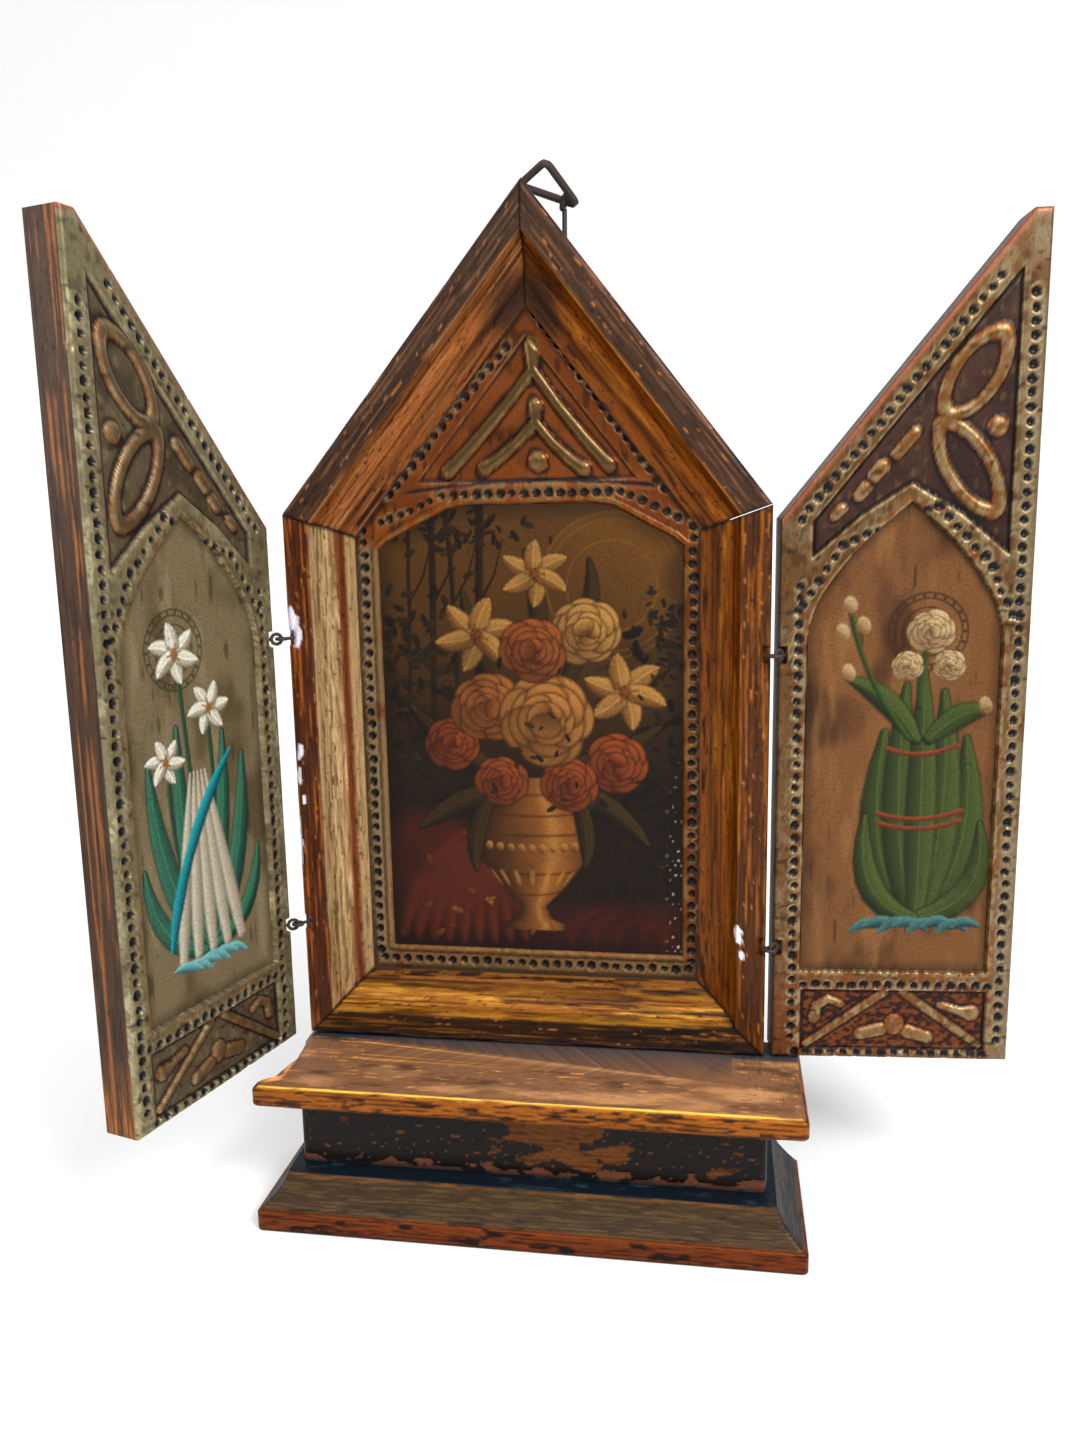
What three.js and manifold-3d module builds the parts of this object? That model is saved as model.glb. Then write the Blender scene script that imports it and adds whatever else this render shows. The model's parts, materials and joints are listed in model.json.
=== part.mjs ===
// Folding triptych altarpiece of gilt wood on a moulded base. Millimetres, +Z up, front faces -Y.
// The origin is the middle of the base's underside.
import * as THREE from 'three';
import { mergeVertices } from 'three/addons/utils/BufferGeometryUtils.js';
import Module from 'manifold-3d';

const wasm = await Module();
wasm.setup();

// ---- driving dimensions ------------------------------------------------------------------

const GAP = 0.3; // clearance between pieces that are glued, nailed or laid together

// base: plinth, die, cornice strip and shelf, all flush at the back
const BASE_WIDTH = 167.6;
const BASE_DEPTH = 50;
const RIM_HEIGHT = 6.8;
const RIM_ARRIS = 0.7;
const LEDGE_TOP = 17.7;
const LEDGE_SIDE_INSET = 9;
const LEDGE_FRONT_INSET = 5.4;
const COVE_STEPS = 6;
const COVE_HOLLOW = 0.16; // how far the cove bows in, as a share of its run
const DIE_TOP = 38;
const DIE_SIDE_INSET = 11.8;
const DIE_FRONT_INSET = 11.4;
const CORNICE_TOP = 41;
const CORNICE_SIDE_INSET = 6.8;
const CORNICE_FRONT_INSET = 4.6;
const CORNICE_RUN = 2.6;
const SHELF_TOP = 47.6;
const SHELF_SIDE_INSET = 0.6;
const SHELF_FRONT_INSET = 0.6;
const SHELF_ARRIS = 1.3;
const SPLINTER = [[4.4, 30], [4.2, 14], [6, 4], [6.7, -3], [5.2, -10], [2.6, -16.5], [-0.2, -20]];
const SPLINTER_FACET = { tiltDeg: -38, turnDeg: 1, in: 1.6, y: 5.4, above: 2.6, length: 46, thick: 9 };

// panel: gabled, a little left of the base's middle, standing near the shelf's back edge
const PANEL_X = -3.2;
const PANEL_FRONT = 13.4;
const PANEL_BOTTOM = SHELF_TOP + GAP;
const PANEL_HALF_WIDTH = 75;
const SHOULDER_Z = 219.6;
const APEX_X = 2.3;
const APEX_Z = 313;
const PANEL_DEPTH = 13;

// moulding of the frame: inset from the outer edge, and depth behind the front
const BAND_WIDTH = 9;
const FRAME_ARRIS = 1.8;
const HOLLOW_WIDTH = 9;
const HOLLOW_DEPTH = 7.6;
const HOLLOW_STEPS = 6;
const FILLET_WIDTH = 3;
const FILLET_DEPTH = 8;
const REBATE_DEPTH = 9.2;
const REBATE_INSET = 12;
const FRAME_INSET = BAND_WIDTH + HOLLOW_WIDTH + FILLET_WIDTH;
const MITRE_CUT = 0.2;

// board inside the frame, its raised surround and the picture's arched opening
const SURROUND_FRONT = 8.9;
const BOARD_FRONT = 9.8;
const PICTURE_THICKNESS = 0.35;
const ARCH = {
  left: -47, right: 49, bottom: 77, spring: 208, top: 221.5, flatLeft: -24, flatRight: 27.5,
};
const ARCH_SHOULDER = [9, 5.6]; // where each haunch bends, in from the jamb and up from the spring
const ARCH_EASE = [7, 0.3]; // rounding at the ends of the flat top
const TYMPANUM_BOTTOM = 228;
const TYMPANUM_INSET = 26.2;
const CHEVRON_FRONT = 8.3;
const CHEVRONS = [
  {
    head: [3.4, 268], headRadius: 2.6,
    fork: [3.5, 261.5],
    ends: [[-23.6, 231.6], [26.2, 232.6]], endRadius: 2.2,
  },
  {
    head: [4.1, 250.6], headRadius: 2.1,
    fork: [4.1, 245.8],
    ends: [[-12, 232.4], [18.4, 231.6]], endRadius: 2.4,
  },
];
const CHEVRON_WAIST = 1.2;
const CHEVRON_SAG = 1.2;
const TYMPANUM_BOSS = [4.5, 234, 3.3];

// wings: s runs from the hinge axis to the free edge, z is the height, depth is behind the face
const HINGE_GAP = 1.25; // from the axis to the panel's side and to the wing's near edge
const HINGE_LEAD = 1.6; // from the faces to the axis in front of them
const WING_WIDTH = 72;
const WING_BOTTOM = 48.4;
const WING_SHOULDER_Z = 215.5;
const WING_THICKNESS = 12.4;
const WING_BLUNT = 5;
const WING_TIP_Z = { left: 293, right: 298 };
const WING_REST_DEG = { left: 74.6, right: -4.3 }; // forward from lying flat beside the panel
const FIELD_DEPTH = 1.2;
const WINDOW_DEPTH = 2.2;
const BORDER_ARRIS = 0.7;
const RIDGE_FRONT = 0.1;
const WINDOW = {
  left: 9.5, right: 65.5, bottom: 77, spring: 181,
  apex: [38.4, 219.4], leftPull: [11.5, 199], rightPull: [63.5, 199],
};
const UPPER_FIELD = { left: 10.6, right: 66.2, low: 204.3, apex: [38.2, 225], slopeInset: 8, bow: 1 };
const LOWER_FIELD = { left: 10, right: 66.2, bottom: 51, top: 70.6 };
const LOOPS = [
  { middle: [54.6, 254.6], angle: 57, half: 13.2, wide: 6 },
  { middle: [53.8, 229], angle: 122, half: 14.6, wide: 5.8 },
];
const LOOP_RIDGE = 1.35;
const LOOP_POINT = 2.4; // the ridge is thicker where the loop comes to its points
const WING_BOSS = [61.4, 240.2, 3];
const DROPS = [
  [[38.4, 238.8], [33.6, 233], 1.6],
  [[29.6, 229.6], [27.4, 227], 1.9],
  [[25, 223.6], [23.4, 221.6], 1.7],
  [[18.4, 217.8], [16.6, 216], 1.5],
];
const V_RIDGES = [[[35.4, 70], [11.6, 52.4]], [[41.2, 70], [64.4, 53.2]]];
const V_HALF_WIDTH = 1.15;
const COMMAS = [
  { path: [[14.2, 61.2], [15, 65.4], [18.4, 67.4], [22, 66]], head: 1.9, tail: 1.4 },
  { path: [[61.8, 63.6], [58, 64.4], [52.8, 66]], head: 2.7, tail: 1.3 },
];
const LOBES = [
  [[38.8, 59.4], [38.8, 59.9], 2.8],
  [[34.6, 57.8], [28.6, 56.2], 1.9],
  [[42.8, 57.2], [48.8, 55.4], 1.9],
];

// wire eyes of the hinges, and the screw eye and ring behind the gable's point
const EYE_WIRE = 0.55;
const EYE_RADIUS = 1.6;
const EYE_LEG = 9;
const EYE_NOTCH = 4.3;
const HINGE_HEIGHTS = { left: { upper: 181, lower: 87 }, right: { upper: 175.5, lower: 84.5 } };
const RING_WIRE = 1.15;
const RING_CORNER = 2.6;
const RING_AXIS_POINT = [13.1, 15.6, 309.6]; // x beside the panel's middle, depth, z
const RING_AXIS_TILT_DEG = -21;
const RING_FOOT = [-14.6, 4.4];
const RING_TOP = [-6, 14.2];
const RING_LEAN_DEG = 66;
const HANGER_EYE_RADIUS = 2.25;
const HANGER_EYE_WIRE = 0.75;
const HANGER_STEM = { bend: 300.6, foot: 290, behind: 15.3, tip: 9.5 }; // heights, then depths

const RADIANS = Math.PI / 180;

// ---- materials ---------------------------------------------------------------------------

const finish = (color, roughness, metalness = 0) =>
  new THREE.MeshStandardMaterial({ color, roughness, metalness });

const giltBrown = finish(0x8a5420, 0.45, 0.35);
const giltOrange = finish(0xb0661c, 0.4, 0.45);
const giltSilver = finish(0x8d8058, 0.4, 0.5);
const wornDark = finish(0x1f1612, 0.6);
const oliveBrown = finish(0x5d4a2a, 0.6);
const printBrown = finish(0x4a3820, 0.4);
const printOlive = finish(0x6b6044, 0.4);
const printTan = finish(0x86603a, 0.4);
const iron = finish(0x2b211d, 0.5, 0.8);

// ---- solids ------------------------------------------------------------------------------

/** Signed volume of a triangle mesh, positive when its faces point out. */
function signedVolume(geometry) {
  const { position } = geometry.attributes;
  const corner = [new THREE.Vector3(), new THREE.Vector3(), new THREE.Vector3()];
  let total = 0;
  for (let i = 0; i < geometry.index.count; i += 3) {
    corner.forEach((point, k) => point.fromBufferAttribute(position, geometry.index.getX(i + k)));
    total += corner[0].dot(corner[1].cross(corner[2])) / 6;
  }
  return total;
}

/** The geometry with only its positions, shared corners merged and its faces pointing out. */
function closed(geometry) {
  geometry.deleteAttribute('normal');
  geometry.deleteAttribute('uv');
  const merged = mergeVertices(geometry, 1e-4);
  if (signedVolume(merged) < 0) {
    const { index } = merged;
    for (let i = 0; i < index.count; i += 3) {
      const first = index.getX(i);
      index.setX(i, index.getX(i + 1));
      index.setX(i + 1, first);
    }
  }
  return merged;
}

function solid(geometry) {
  const { attributes, index } = closed(geometry);
  return new wasm.Manifold(new wasm.Mesh({
    numProp: 3,
    vertProperties: new Float32Array(attributes.position.array),
    triVerts: new Uint32Array(index.array),
  }));
}

function geometryOf(manifold) {
  const { vertProperties, triVerts } = manifold.getMesh();
  const geometry = new THREE.BufferGeometry();
  geometry.setAttribute('position', new THREE.BufferAttribute(vertProperties, 3));
  geometry.setIndex(new THREE.BufferAttribute(triVerts, 1));
  geometry.computeVertexNormals();
  return geometry;
}

const joined = (pieces) => pieces.reduce((whole, piece) => whole.add(piece));

function part(name, source, material, parent) {
  const geometry = source.isBufferGeometry ? closed(source) : geometryOf(source);
  geometry.computeVertexNormals();
  const mesh = new THREE.Mesh(geometry, material);
  mesh.name = name;
  parent.add(mesh);
}

/** Moves each vertex by a function of its old place. */
function reshaped(geometry, place) {
  const { position } = geometry.attributes;
  const point = new THREE.Vector3();
  for (let i = 0; i < position.count; i += 1) {
    point.fromBufferAttribute(position, i);
    position.setXYZ(i, ...place(point));
  }
  return geometry;
}

const shapeOf = (points) => new THREE.Shape(points.map(([x, z]) => new THREE.Vector2(x, z)));

/** An upright board of an outline drawn in x and z, from one depth behind the face to another. */
function slab(shape, front, back) {
  const geometry = new THREE.ExtrudeGeometry(shape, { depth: back - front, bevelEnabled: false });
  return geometry.translate(0, 0, -back).rotateX(Math.PI / 2);
}

/** Raised work: like a slab, with its front edges chamfered. It runs on behind its foot. */
function relief(shape, front, foot, chamfer) {
  const rise = Math.min(chamfer, foot - front);
  const geometry = new THREE.ExtrudeGeometry(shape, {
    depth: foot - front - rise + 0.05,
    bevelThickness: rise,
    bevelSize: chamfer,
    bevelOffset: -chamfer,
    bevelSegments: 1,
  });
  return geometry.translate(0, 0, -foot - 0.05).rotateX(Math.PI / 2);
}

// ---- outlines ----------------------------------------------------------------------------

/** Insets a counter-clockwise outline, by one distance or by one for each edge. */
function inset(points, distance) {
  const count = points.length;
  const lines = points.map(([x, z], i) => {
    const [nextX, nextZ] = points[(i + 1) % count];
    const length = Math.hypot(nextX - x, nextZ - z);
    const along = [(nextX - x) / length, (nextZ - z) / length];
    const shift = Array.isArray(distance) ? distance[i] : distance;
    return { from: [x - along[1] * shift, z + along[0] * shift], along };
  });
  return lines.map((line, i) => {
    const before = lines[(i + count - 1) % count];
    const cross = before.along[0] * line.along[1] - before.along[1] * line.along[0];
    const dx = line.from[0] - before.from[0];
    const dz = line.from[1] - before.from[1];
    const reach = (dx * line.along[1] - dz * line.along[0]) / cross;
    return [before.from[0] + before.along[0] * reach, before.from[1] + before.along[1] * reach];
  });
}

/** A stroke with round ends whose half-width changes along its path. */
function stroke(points, halfWidth, steps = 8, capSteps = 4) {
  const path = points.length > 2
    ? new THREE.SplineCurve(points.map(([x, z]) => new THREE.Vector2(x, z)))
    : new THREE.LineCurve(new THREE.Vector2(...points[0]), new THREE.Vector2(...points[1]));
  const samples = points.length > 2 ? steps : 1;
  const outline = [];
  const edge = (t, turn) => {
    const at = path.getPoint(t);
    const angle = path.getTangent(t).angle() + turn;
    outline.push([at.x + Math.cos(angle) * halfWidth(t), at.y + Math.sin(angle) * halfWidth(t)]);
  };
  for (let i = 0; i <= samples; i += 1) edge(i / samples, -Math.PI / 2);
  for (let i = 1; i < capSteps; i += 1) edge(1, -Math.PI / 2 + (Math.PI * i) / capSteps);
  for (let i = samples; i >= 0; i -= 1) edge(i / samples, Math.PI / 2);
  for (let i = 1; i < capSteps; i += 1) edge(0, Math.PI / 2 + (Math.PI * i) / capSteps);
  return outline;
}

/** A pointed oval about a middle, with its long axis at an angle. */
function pointedOval([x, z], angleDeg, half, wide, steps = 22) {
  const cos = Math.cos(angleDeg * RADIANS);
  const sin = Math.sin(angleDeg * RADIANS);
  return Array.from({ length: steps }, (_, i) => {
    const turn = (2 * Math.PI * i) / steps;
    const along = half * Math.cos(turn);
    const across = wide * Math.sign(Math.sin(turn)) * Math.abs(Math.sin(turn)) ** 1.25;
    return [x + along * cos - across * sin, z + along * sin + across * cos];
  });
}

function circle([x, z, radius], steps = 16) {
  return Array.from({ length: steps }, (_, i) => {
    const turn = (2 * Math.PI * i) / steps;
    return [x + radius * Math.cos(turn), z + radius * Math.sin(turn)];
  });
}

// ---- base --------------------------------------------------------------------------------

/** A block with a flat back whose ends and front step in: levels are [z, side inset, front inset]. */
function steppedBlock(levels) {
  const last = levels.length - 1;
  const box = new THREE.BoxGeometry(1, 1, 1, 1, 1, last);
  return reshaped(box, ({ x, y, z }) => {
    const [height, side, front] = levels[Math.round((z + 0.5) * last)];
    const back = y > 0 ? BASE_DEPTH / 2 : front - BASE_DEPTH / 2;
    return [Math.sign(x) * (BASE_WIDTH / 2 - side), back, height];
  });
}

function plinth() {
  const levels = [
    [0, RIM_ARRIS, RIM_ARRIS],
    [RIM_ARRIS, 0, 0],
    [RIM_HEIGHT - RIM_ARRIS, 0, 0],
  ];
  for (let i = 0; i <= COVE_STEPS; i += 1) {
    const t = i / COVE_STEPS;
    const run = t + COVE_HOLLOW * Math.sin(Math.PI * t);
    levels.push([
      RIM_HEIGHT + (LEDGE_TOP - RIM_HEIGHT) * t,
      RIM_ARRIS + (LEDGE_SIDE_INSET - RIM_ARRIS) * run,
      RIM_ARRIS + (LEDGE_FRONT_INSET - RIM_ARRIS) * run,
    ]);
  }
  return steppedBlock(levels);
}

const die = () => steppedBlock([
  [LEDGE_TOP + GAP, DIE_SIDE_INSET, DIE_FRONT_INSET],
  [DIE_TOP, DIE_SIDE_INSET, DIE_FRONT_INSET],
]);

/** A small quarter-round strip under the shelf. */
function cornice() {
  const bottom = DIE_TOP + GAP;
  const steps = 4;
  const levels = [];
  for (let i = 0; i <= steps; i += 1) {
    const turn = (Math.PI / 2) * (i / steps);
    const run = CORNICE_RUN * (1 - Math.sin(turn));
    const z = bottom + (CORNICE_TOP - bottom) * (1 - Math.cos(turn));
    levels.push([z, CORNICE_SIDE_INSET + run, CORNICE_FRONT_INSET + run]);
  }
  return steppedBlock(levels);
}

/** The shelf, with a long splinter gone from its left end. */
function shelf() {
  const bottom = CORNICE_TOP + GAP;
  const edge = (z, more) => [z, SHELF_SIDE_INSET + more, SHELF_FRONT_INSET + more];
  const board = solid(steppedBlock([
    edge(bottom, SHELF_ARRIS),
    edge(bottom + SHELF_ARRIS * 0.3, SHELF_ARRIS * 0.3),
    edge(bottom + SHELF_ARRIS, 0),
    edge(SHELF_TOP - SHELF_ARRIS, 0),
    edge(SHELF_TOP - SHELF_ARRIS * 0.3, SHELF_ARRIS * 0.3),
    edge(SHELF_TOP, SHELF_ARRIS),
  ]));
  const left = SHELF_SIDE_INSET - BASE_WIDTH / 2;
  const outside = left - 5;
  const bite = [[outside, SPLINTER[0][1]], ...SPLINTER.map(([x, y]) => [left + x, y]), [outside, -21]];
  const splinter = new THREE.ExtrudeGeometry(shapeOf(bite), { depth: 9, bevelEnabled: false });
  splinter.translate(0, 0, bottom - 1);
  const { tiltDeg, turnDeg, in: offset, y, above, length, thick } = SPLINTER_FACET;
  const facet = new THREE.BoxGeometry(thick, length, thick);
  facet.rotateY(tiltDeg * RADIANS).rotateZ(turnDeg * RADIANS);
  facet.translate(left + offset, y, SHELF_TOP + above);
  return board.subtract(solid(splinter)).subtract(solid(facet));
}

// ---- panel -------------------------------------------------------------------------------

const PANEL_OUTLINE = [
  [-PANEL_HALF_WIDTH, PANEL_BOTTOM],
  [PANEL_HALF_WIDTH, PANEL_BOTTOM],
  [PANEL_HALF_WIDTH, SHOULDER_Z],
  [APEX_X, APEX_Z],
  [-PANEL_HALF_WIDTH, SHOULDER_Z],
];
const FRAME_NAMES = ['frame_bottom', 'frame_right', 'frame_gable_right', 'frame_gable_left', 'frame_left'];

/** The moulding's section: u runs in from the outer edge, and depth runs back from the face. */
function mouldingSection() {
  const points = [];
  for (let i = 0; i <= 3; i += 1) {
    const turn = (Math.PI / 2) * (i / 3);
    points.push([FRAME_ARRIS * (1 - Math.cos(turn)), FRAME_ARRIS * (1 - Math.sin(turn))]);
  }
  for (let i = 0; i <= HOLLOW_STEPS; i += 1) {
    const turn = (Math.PI / 2) * (i / HOLLOW_STEPS);
    points.push([BAND_WIDTH + HOLLOW_WIDTH * (1 - Math.cos(turn)), HOLLOW_DEPTH * Math.sin(turn)]);
  }
  points.push([BAND_WIDTH + HOLLOW_WIDTH + 0.3, FILLET_DEPTH]);
  points.push([FRAME_INSET - 0.4, FILLET_DEPTH]);
  points.push([FRAME_INSET, FILLET_DEPTH + 0.4]);
  points.push([FRAME_INSET, REBATE_DEPTH], [REBATE_INSET, REBATE_DEPTH]);
  points.push([REBATE_INSET, PANEL_DEPTH], [0, PANEL_DEPTH]);
  return shapeOf(points);
}

/** One mitred length of the moulding, along one edge of the panel's outline. */
function frameLength(edge) {
  const geometry = new THREE.ExtrudeGeometry(mouldingSection(), { depth: 1, bevelEnabled: false });
  return reshaped(geometry, ({ x: u, y: depth, z: along }) => {
    const corners = inset(PANEL_OUTLINE, u);
    const [fromX, fromZ] = corners[edge];
    const [toX, toZ] = corners[(edge + 1) % corners.length];
    const cut = MITRE_CUT / Math.hypot(toX - fromX, toZ - fromZ);
    const t = cut + (1 - 2 * cut) * along;
    return [fromX + (toX - fromX) * t, depth, fromZ + (toZ - fromZ) * t];
  });
}

/** The flattened arch of the middle opening, grown by a margin. */
function archOutline(margin) {
  const { left, right, bottom, spring, top, flatLeft, flatRight } = ARCH;
  const [shoulderIn, shoulderUp] = ARCH_SHOULDER;
  const [easeIn, easeDown] = ARCH_EASE;
  return inset([
    [left, bottom], [right, bottom], [right, spring],
    [right - shoulderIn, spring + shoulderUp],
    [flatRight, top - easeDown], [flatRight - easeIn, top],
    [flatLeft + easeIn, top], [flatLeft, top - easeDown],
    [left + shoulderIn, spring + shoulderUp],
    [left, spring],
  ], -margin);
}

/** The three-cornered field above the arch. */
function tympanumField() {
  const [, , rightShoulder, apex, leftShoulder] = PANEL_OUTLINE;
  const lift = TYMPANUM_BOTTOM - SHOULDER_Z;
  const share = lift / (APEX_Z - SHOULDER_Z);
  const triangle = [
    [leftShoulder[0] + (apex[0] - leftShoulder[0]) * share, TYMPANUM_BOTTOM],
    [rightShoulder[0] + (apex[0] - rightShoulder[0]) * share, TYMPANUM_BOTTOM],
    apex,
  ];
  return inset(triangle, [0, TYMPANUM_INSET, TYMPANUM_INSET]);
}

/** A bulb at the top and two limbs that thin and end in drops. */
function chevron({ head, fork, ends, headRadius, endRadius }) {
  const foot = BOARD_FRONT + 0.3;
  const bulb = stroke([fork, head], (t) => CHEVRON_WAIST + (headRadius - CHEVRON_WAIST) * t);
  const limbs = ends.map((end) => {
    const middle = [(fork[0] + end[0]) / 2, (fork[1] + end[1]) / 2 - CHEVRON_SAG];
    return stroke([fork, middle, end], (t) => CHEVRON_WAIST + (endRadius - CHEVRON_WAIST) * t ** 3);
  });
  return [bulb, ...limbs].map((outline) => solid(relief(shapeOf(outline), CHEVRON_FRONT, foot, 0.8)));
}

function centreBoard() {
  const board = solid(slab(shapeOf(inset(PANEL_OUTLINE, REBATE_INSET + GAP)), BOARD_FRONT, PANEL_DEPTH));
  const surround = shapeOf(inset(PANEL_OUTLINE, FRAME_INSET + GAP));
  surround.holes.push(shapeOf(archOutline(0)), shapeOf(tympanumField()));
  const boss = relief(shapeOf(circle(TYMPANUM_BOSS)), CHEVRON_FRONT, BOARD_FRONT + 0.3, 1.1);
  return joined([
    board,
    solid(slab(surround, SURROUND_FRONT, BOARD_FRONT + 0.1)),
    solid(boss),
    ...CHEVRONS.flatMap(chevron),
  ]);
}

/** A picture sheet that lies just in front of a ground. */
const sheet = (outline, ground) =>
  slab(shapeOf(outline), ground - GAP - PICTURE_THICKNESS, ground - GAP);

// ---- wings -------------------------------------------------------------------------------

const WING_NEAR = HINGE_GAP;
const WING_FAR = HINGE_GAP + WING_WIDTH;

/** An outline as it lies on a wing of a side, still running counter-clockwise. */
function mirrored(outline, side) {
  return side > 0 ? outline : outline.map(([s, z]) => [-s, z]).reverse();
}

function wingOutline(tipZ) {
  return [
    [WING_NEAR, WING_BOTTOM], [WING_FAR, WING_BOTTOM], [WING_FAR, tipZ],
    [WING_FAR - WING_BLUNT, tipZ], [WING_NEAR, WING_SHOULDER_Z],
  ];
}

/** The pointed window, grown by a margin at its sides and foot. */
function windowOutline(margin = 0, steps = 7) {
  const { left, right, bottom, spring, apex, leftPull, rightPull } = WINDOW;
  const at = ([s, z]) => new THREE.Vector2(s, z);
  const rightArc = new THREE.QuadraticBezierCurve(at([right, spring]), at(rightPull), at(apex));
  const leftArc = new THREE.QuadraticBezierCurve(at(apex), at(leftPull), at([left, spring]));
  const arcs = [...rightArc.getPoints(steps), ...leftArc.getPoints(steps).slice(1)];
  return inset([[left, bottom], [right, bottom], ...arcs.map(({ x, y }) => [x, y])], -margin);
}

/** The field between the window's arch, the slope and the free edge. */
function upperField(tipZ) {
  const { left, right, low, apex, slopeInset, bow } = UPPER_FIELD;
  const rise = (tipZ - WING_SHOULDER_Z) / (WING_WIDTH - WING_BLUNT);
  const drop = slopeInset * Math.hypot(1, rise);
  const slopeZ = (s) => WING_SHOULDER_Z + (s - WING_NEAR) * rise - drop;
  return [
    [left, low], [(left + apex[0]) / 2 - bow, (low + apex[1]) / 2 + bow], apex,
    [(right + apex[0]) / 2 + bow, (low + apex[1]) / 2 + bow], [right, low],
    [right, slopeZ(right)], [left, slopeZ(left)],
  ];
}

/** The cast ornament of a wing, as closed outlines with what they leave open. */
function wingOrnament(side) {
  const outlines = LOOPS.map(({ middle, angle, half, wide }) => {
    const outer = pointedOval(middle, angle, half + LOOP_RIDGE, wide + LOOP_RIDGE);
    const inner = pointedOval(middle, angle, half - LOOP_POINT, wide - LOOP_RIDGE);
    const ring = shapeOf(mirrored(outer, side));
    ring.holes.push(shapeOf(mirrored(inner, side)));
    return ring;
  });
  const add = (outline) => outlines.push(shapeOf(mirrored(outline, side)));
  add(circle(WING_BOSS, 14));
  DROPS.forEach(([from, to, radius]) => add(stroke([from, to], () => radius)));
  V_RIDGES.forEach((path) => add(stroke(path, () => V_HALF_WIDTH)));
  COMMAS.forEach(({ path, head, tail }) => {
    const halfWidth = (t) => head + (tail - head) * Math.min(1, 2 * t);
    add(stroke(path, halfWidth, 6));
  });
  LOBES.forEach(([from, to, radius]) => add(stroke([from, to], () => radius)));
  return outlines.map((shape) => solid(relief(shape, RIDGE_FRONT, FIELD_DEPTH + 0.3, 0.6)));
}

/** A wing board about its hinge axis, opening to +X for side 1 and to -X for side -1. */
function wing(side, tipZ, hingeHeights) {
  const outline = mirrored(wingOutline(tipZ), side);
  const border = shapeOf(outline);
  const { left, right, bottom, top } = LOWER_FIELD;
  [windowOutline(), upperField(tipZ), [[left, bottom], [right, bottom], [right, top], [left, top]]]
    .forEach((hole) => border.holes.push(shapeOf(mirrored(hole, side))));
  const pocket = slab(shapeOf(mirrored(windowOutline(), side)), -1, WINDOW_DEPTH);
  const board = joined([
    solid(slab(shapeOf(outline), FIELD_DEPTH, WING_THICKNESS)),
    solid(relief(border, 0, FIELD_DEPTH + 0.2, BORDER_ARRIS)),
    ...wingOrnament(side),
  ]).subtract(solid(pocket));
  const placed = board.translate([0, HINGE_LEAD, 0]);
  const cuts = Object.values(hingeHeights).flatMap((z) => [
    solid(hingeNotch(z)),
    solid(legHole(wingLegAngle(side), z, EYE_LEG + EYE_RADIUS)),
  ]);
  return placed.subtract(joined(cuts));
}

// ---- hinges ------------------------------------------------------------------------------

const panelLegAngle = (side) => (side > 0 ? 135 : 45);
const wingLegAngle = (side) => (side > 0 ? 45 : 135);

/** A rod lying level, from one distance to another along an angle about the hinge axis. */
function levelRod(angleDeg, z, from, to, radius, sides) {
  const rod = new THREE.CylinderGeometry(radius, radius, to - from, sides);
  rod.rotateZ(-Math.PI / 2).translate((from + to) / 2, 0, 0);
  return rod.rotateZ(angleDeg * RADIANS).translate(0, 0, z);
}

const legHole = (angleDeg, z, reach) => levelRod(angleDeg, z, EYE_RADIUS, reach + GAP, EYE_WIRE + GAP, 8);

function hingeNotch(z) {
  const height = 2 * (EYE_RADIUS + EYE_WIRE + GAP);
  return new THREE.CylinderGeometry(EYE_NOTCH, EYE_NOTCH, height, 16).rotateX(Math.PI / 2).translate(0, 0, z);
}

/** The eye in the panel lies level and is centred on the hinge axis. */
function panelEye(side, z) {
  const ring = new THREE.TorusGeometry(EYE_RADIUS, EYE_WIRE, 6, 14).translate(0, 0, z);
  const leg = levelRod(panelLegAngle(side), z, EYE_RADIUS, EYE_LEG, EYE_WIRE, 6);
  return joined([solid(ring), solid(leg)]);
}

/** The eye in the wing stands upright and runs through the panel's eye along the axis. */
function wingEye(side, z) {
  const ring = new THREE.TorusGeometry(EYE_RADIUS, EYE_WIRE, 6, 14).rotateX(Math.PI / 2);
  ring.translate(EYE_RADIUS, 0, 0).rotateZ(wingLegAngle(side) * RADIANS).translate(0, 0, z);
  const leg = levelRod(wingLegAngle(side), z, 2 * EYE_RADIUS, EYE_LEG + EYE_RADIUS, EYE_WIRE, 6);
  return joined([solid(ring), solid(leg)]);
}

// ---- hanger ------------------------------------------------------------------------------

/** A three-cornered wire ring about the axis that its foot lies on: x along it, z across. */
function hangerRing() {
  const [footLeft, footRight] = RING_FOOT;
  const corners = [[footLeft, 0], [footRight, 0], RING_TOP].map(([x, z]) => new THREE.Vector2(x, z));
  const path = new THREE.Path();
  corners.forEach((corner, i) => {
    const towards = (other) => corner.clone().add(other.clone().sub(corner).setLength(RING_CORNER));
    const enter = towards(corners[(i + 2) % 3]);
    const leave = towards(corners[(i + 1) % 3]);
    if (i === 0) path.moveTo(enter.x, enter.y);
    else path.lineTo(enter.x, enter.y);
    path.quadraticCurveTo(corner.x, corner.y, leave.x, leave.y);
  });
  path.closePath();
  const torus = new THREE.TorusGeometry(1, 0.1, 8, 42);
  return reshaped(torus, ({ x, y, z }) => {
    const t = (Math.atan2(y, x) / (2 * Math.PI) + 1) % 1;
    const at = path.getPointAt(t);
    const tangent = path.getTangentAt(t);
    const out = ((Math.hypot(x, y) - 1) / 0.1) * RING_WIRE;
    return [at.x + tangent.y * out, (z / 0.1) * RING_WIRE, at.y - tangent.x * out];
  });
}

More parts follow.
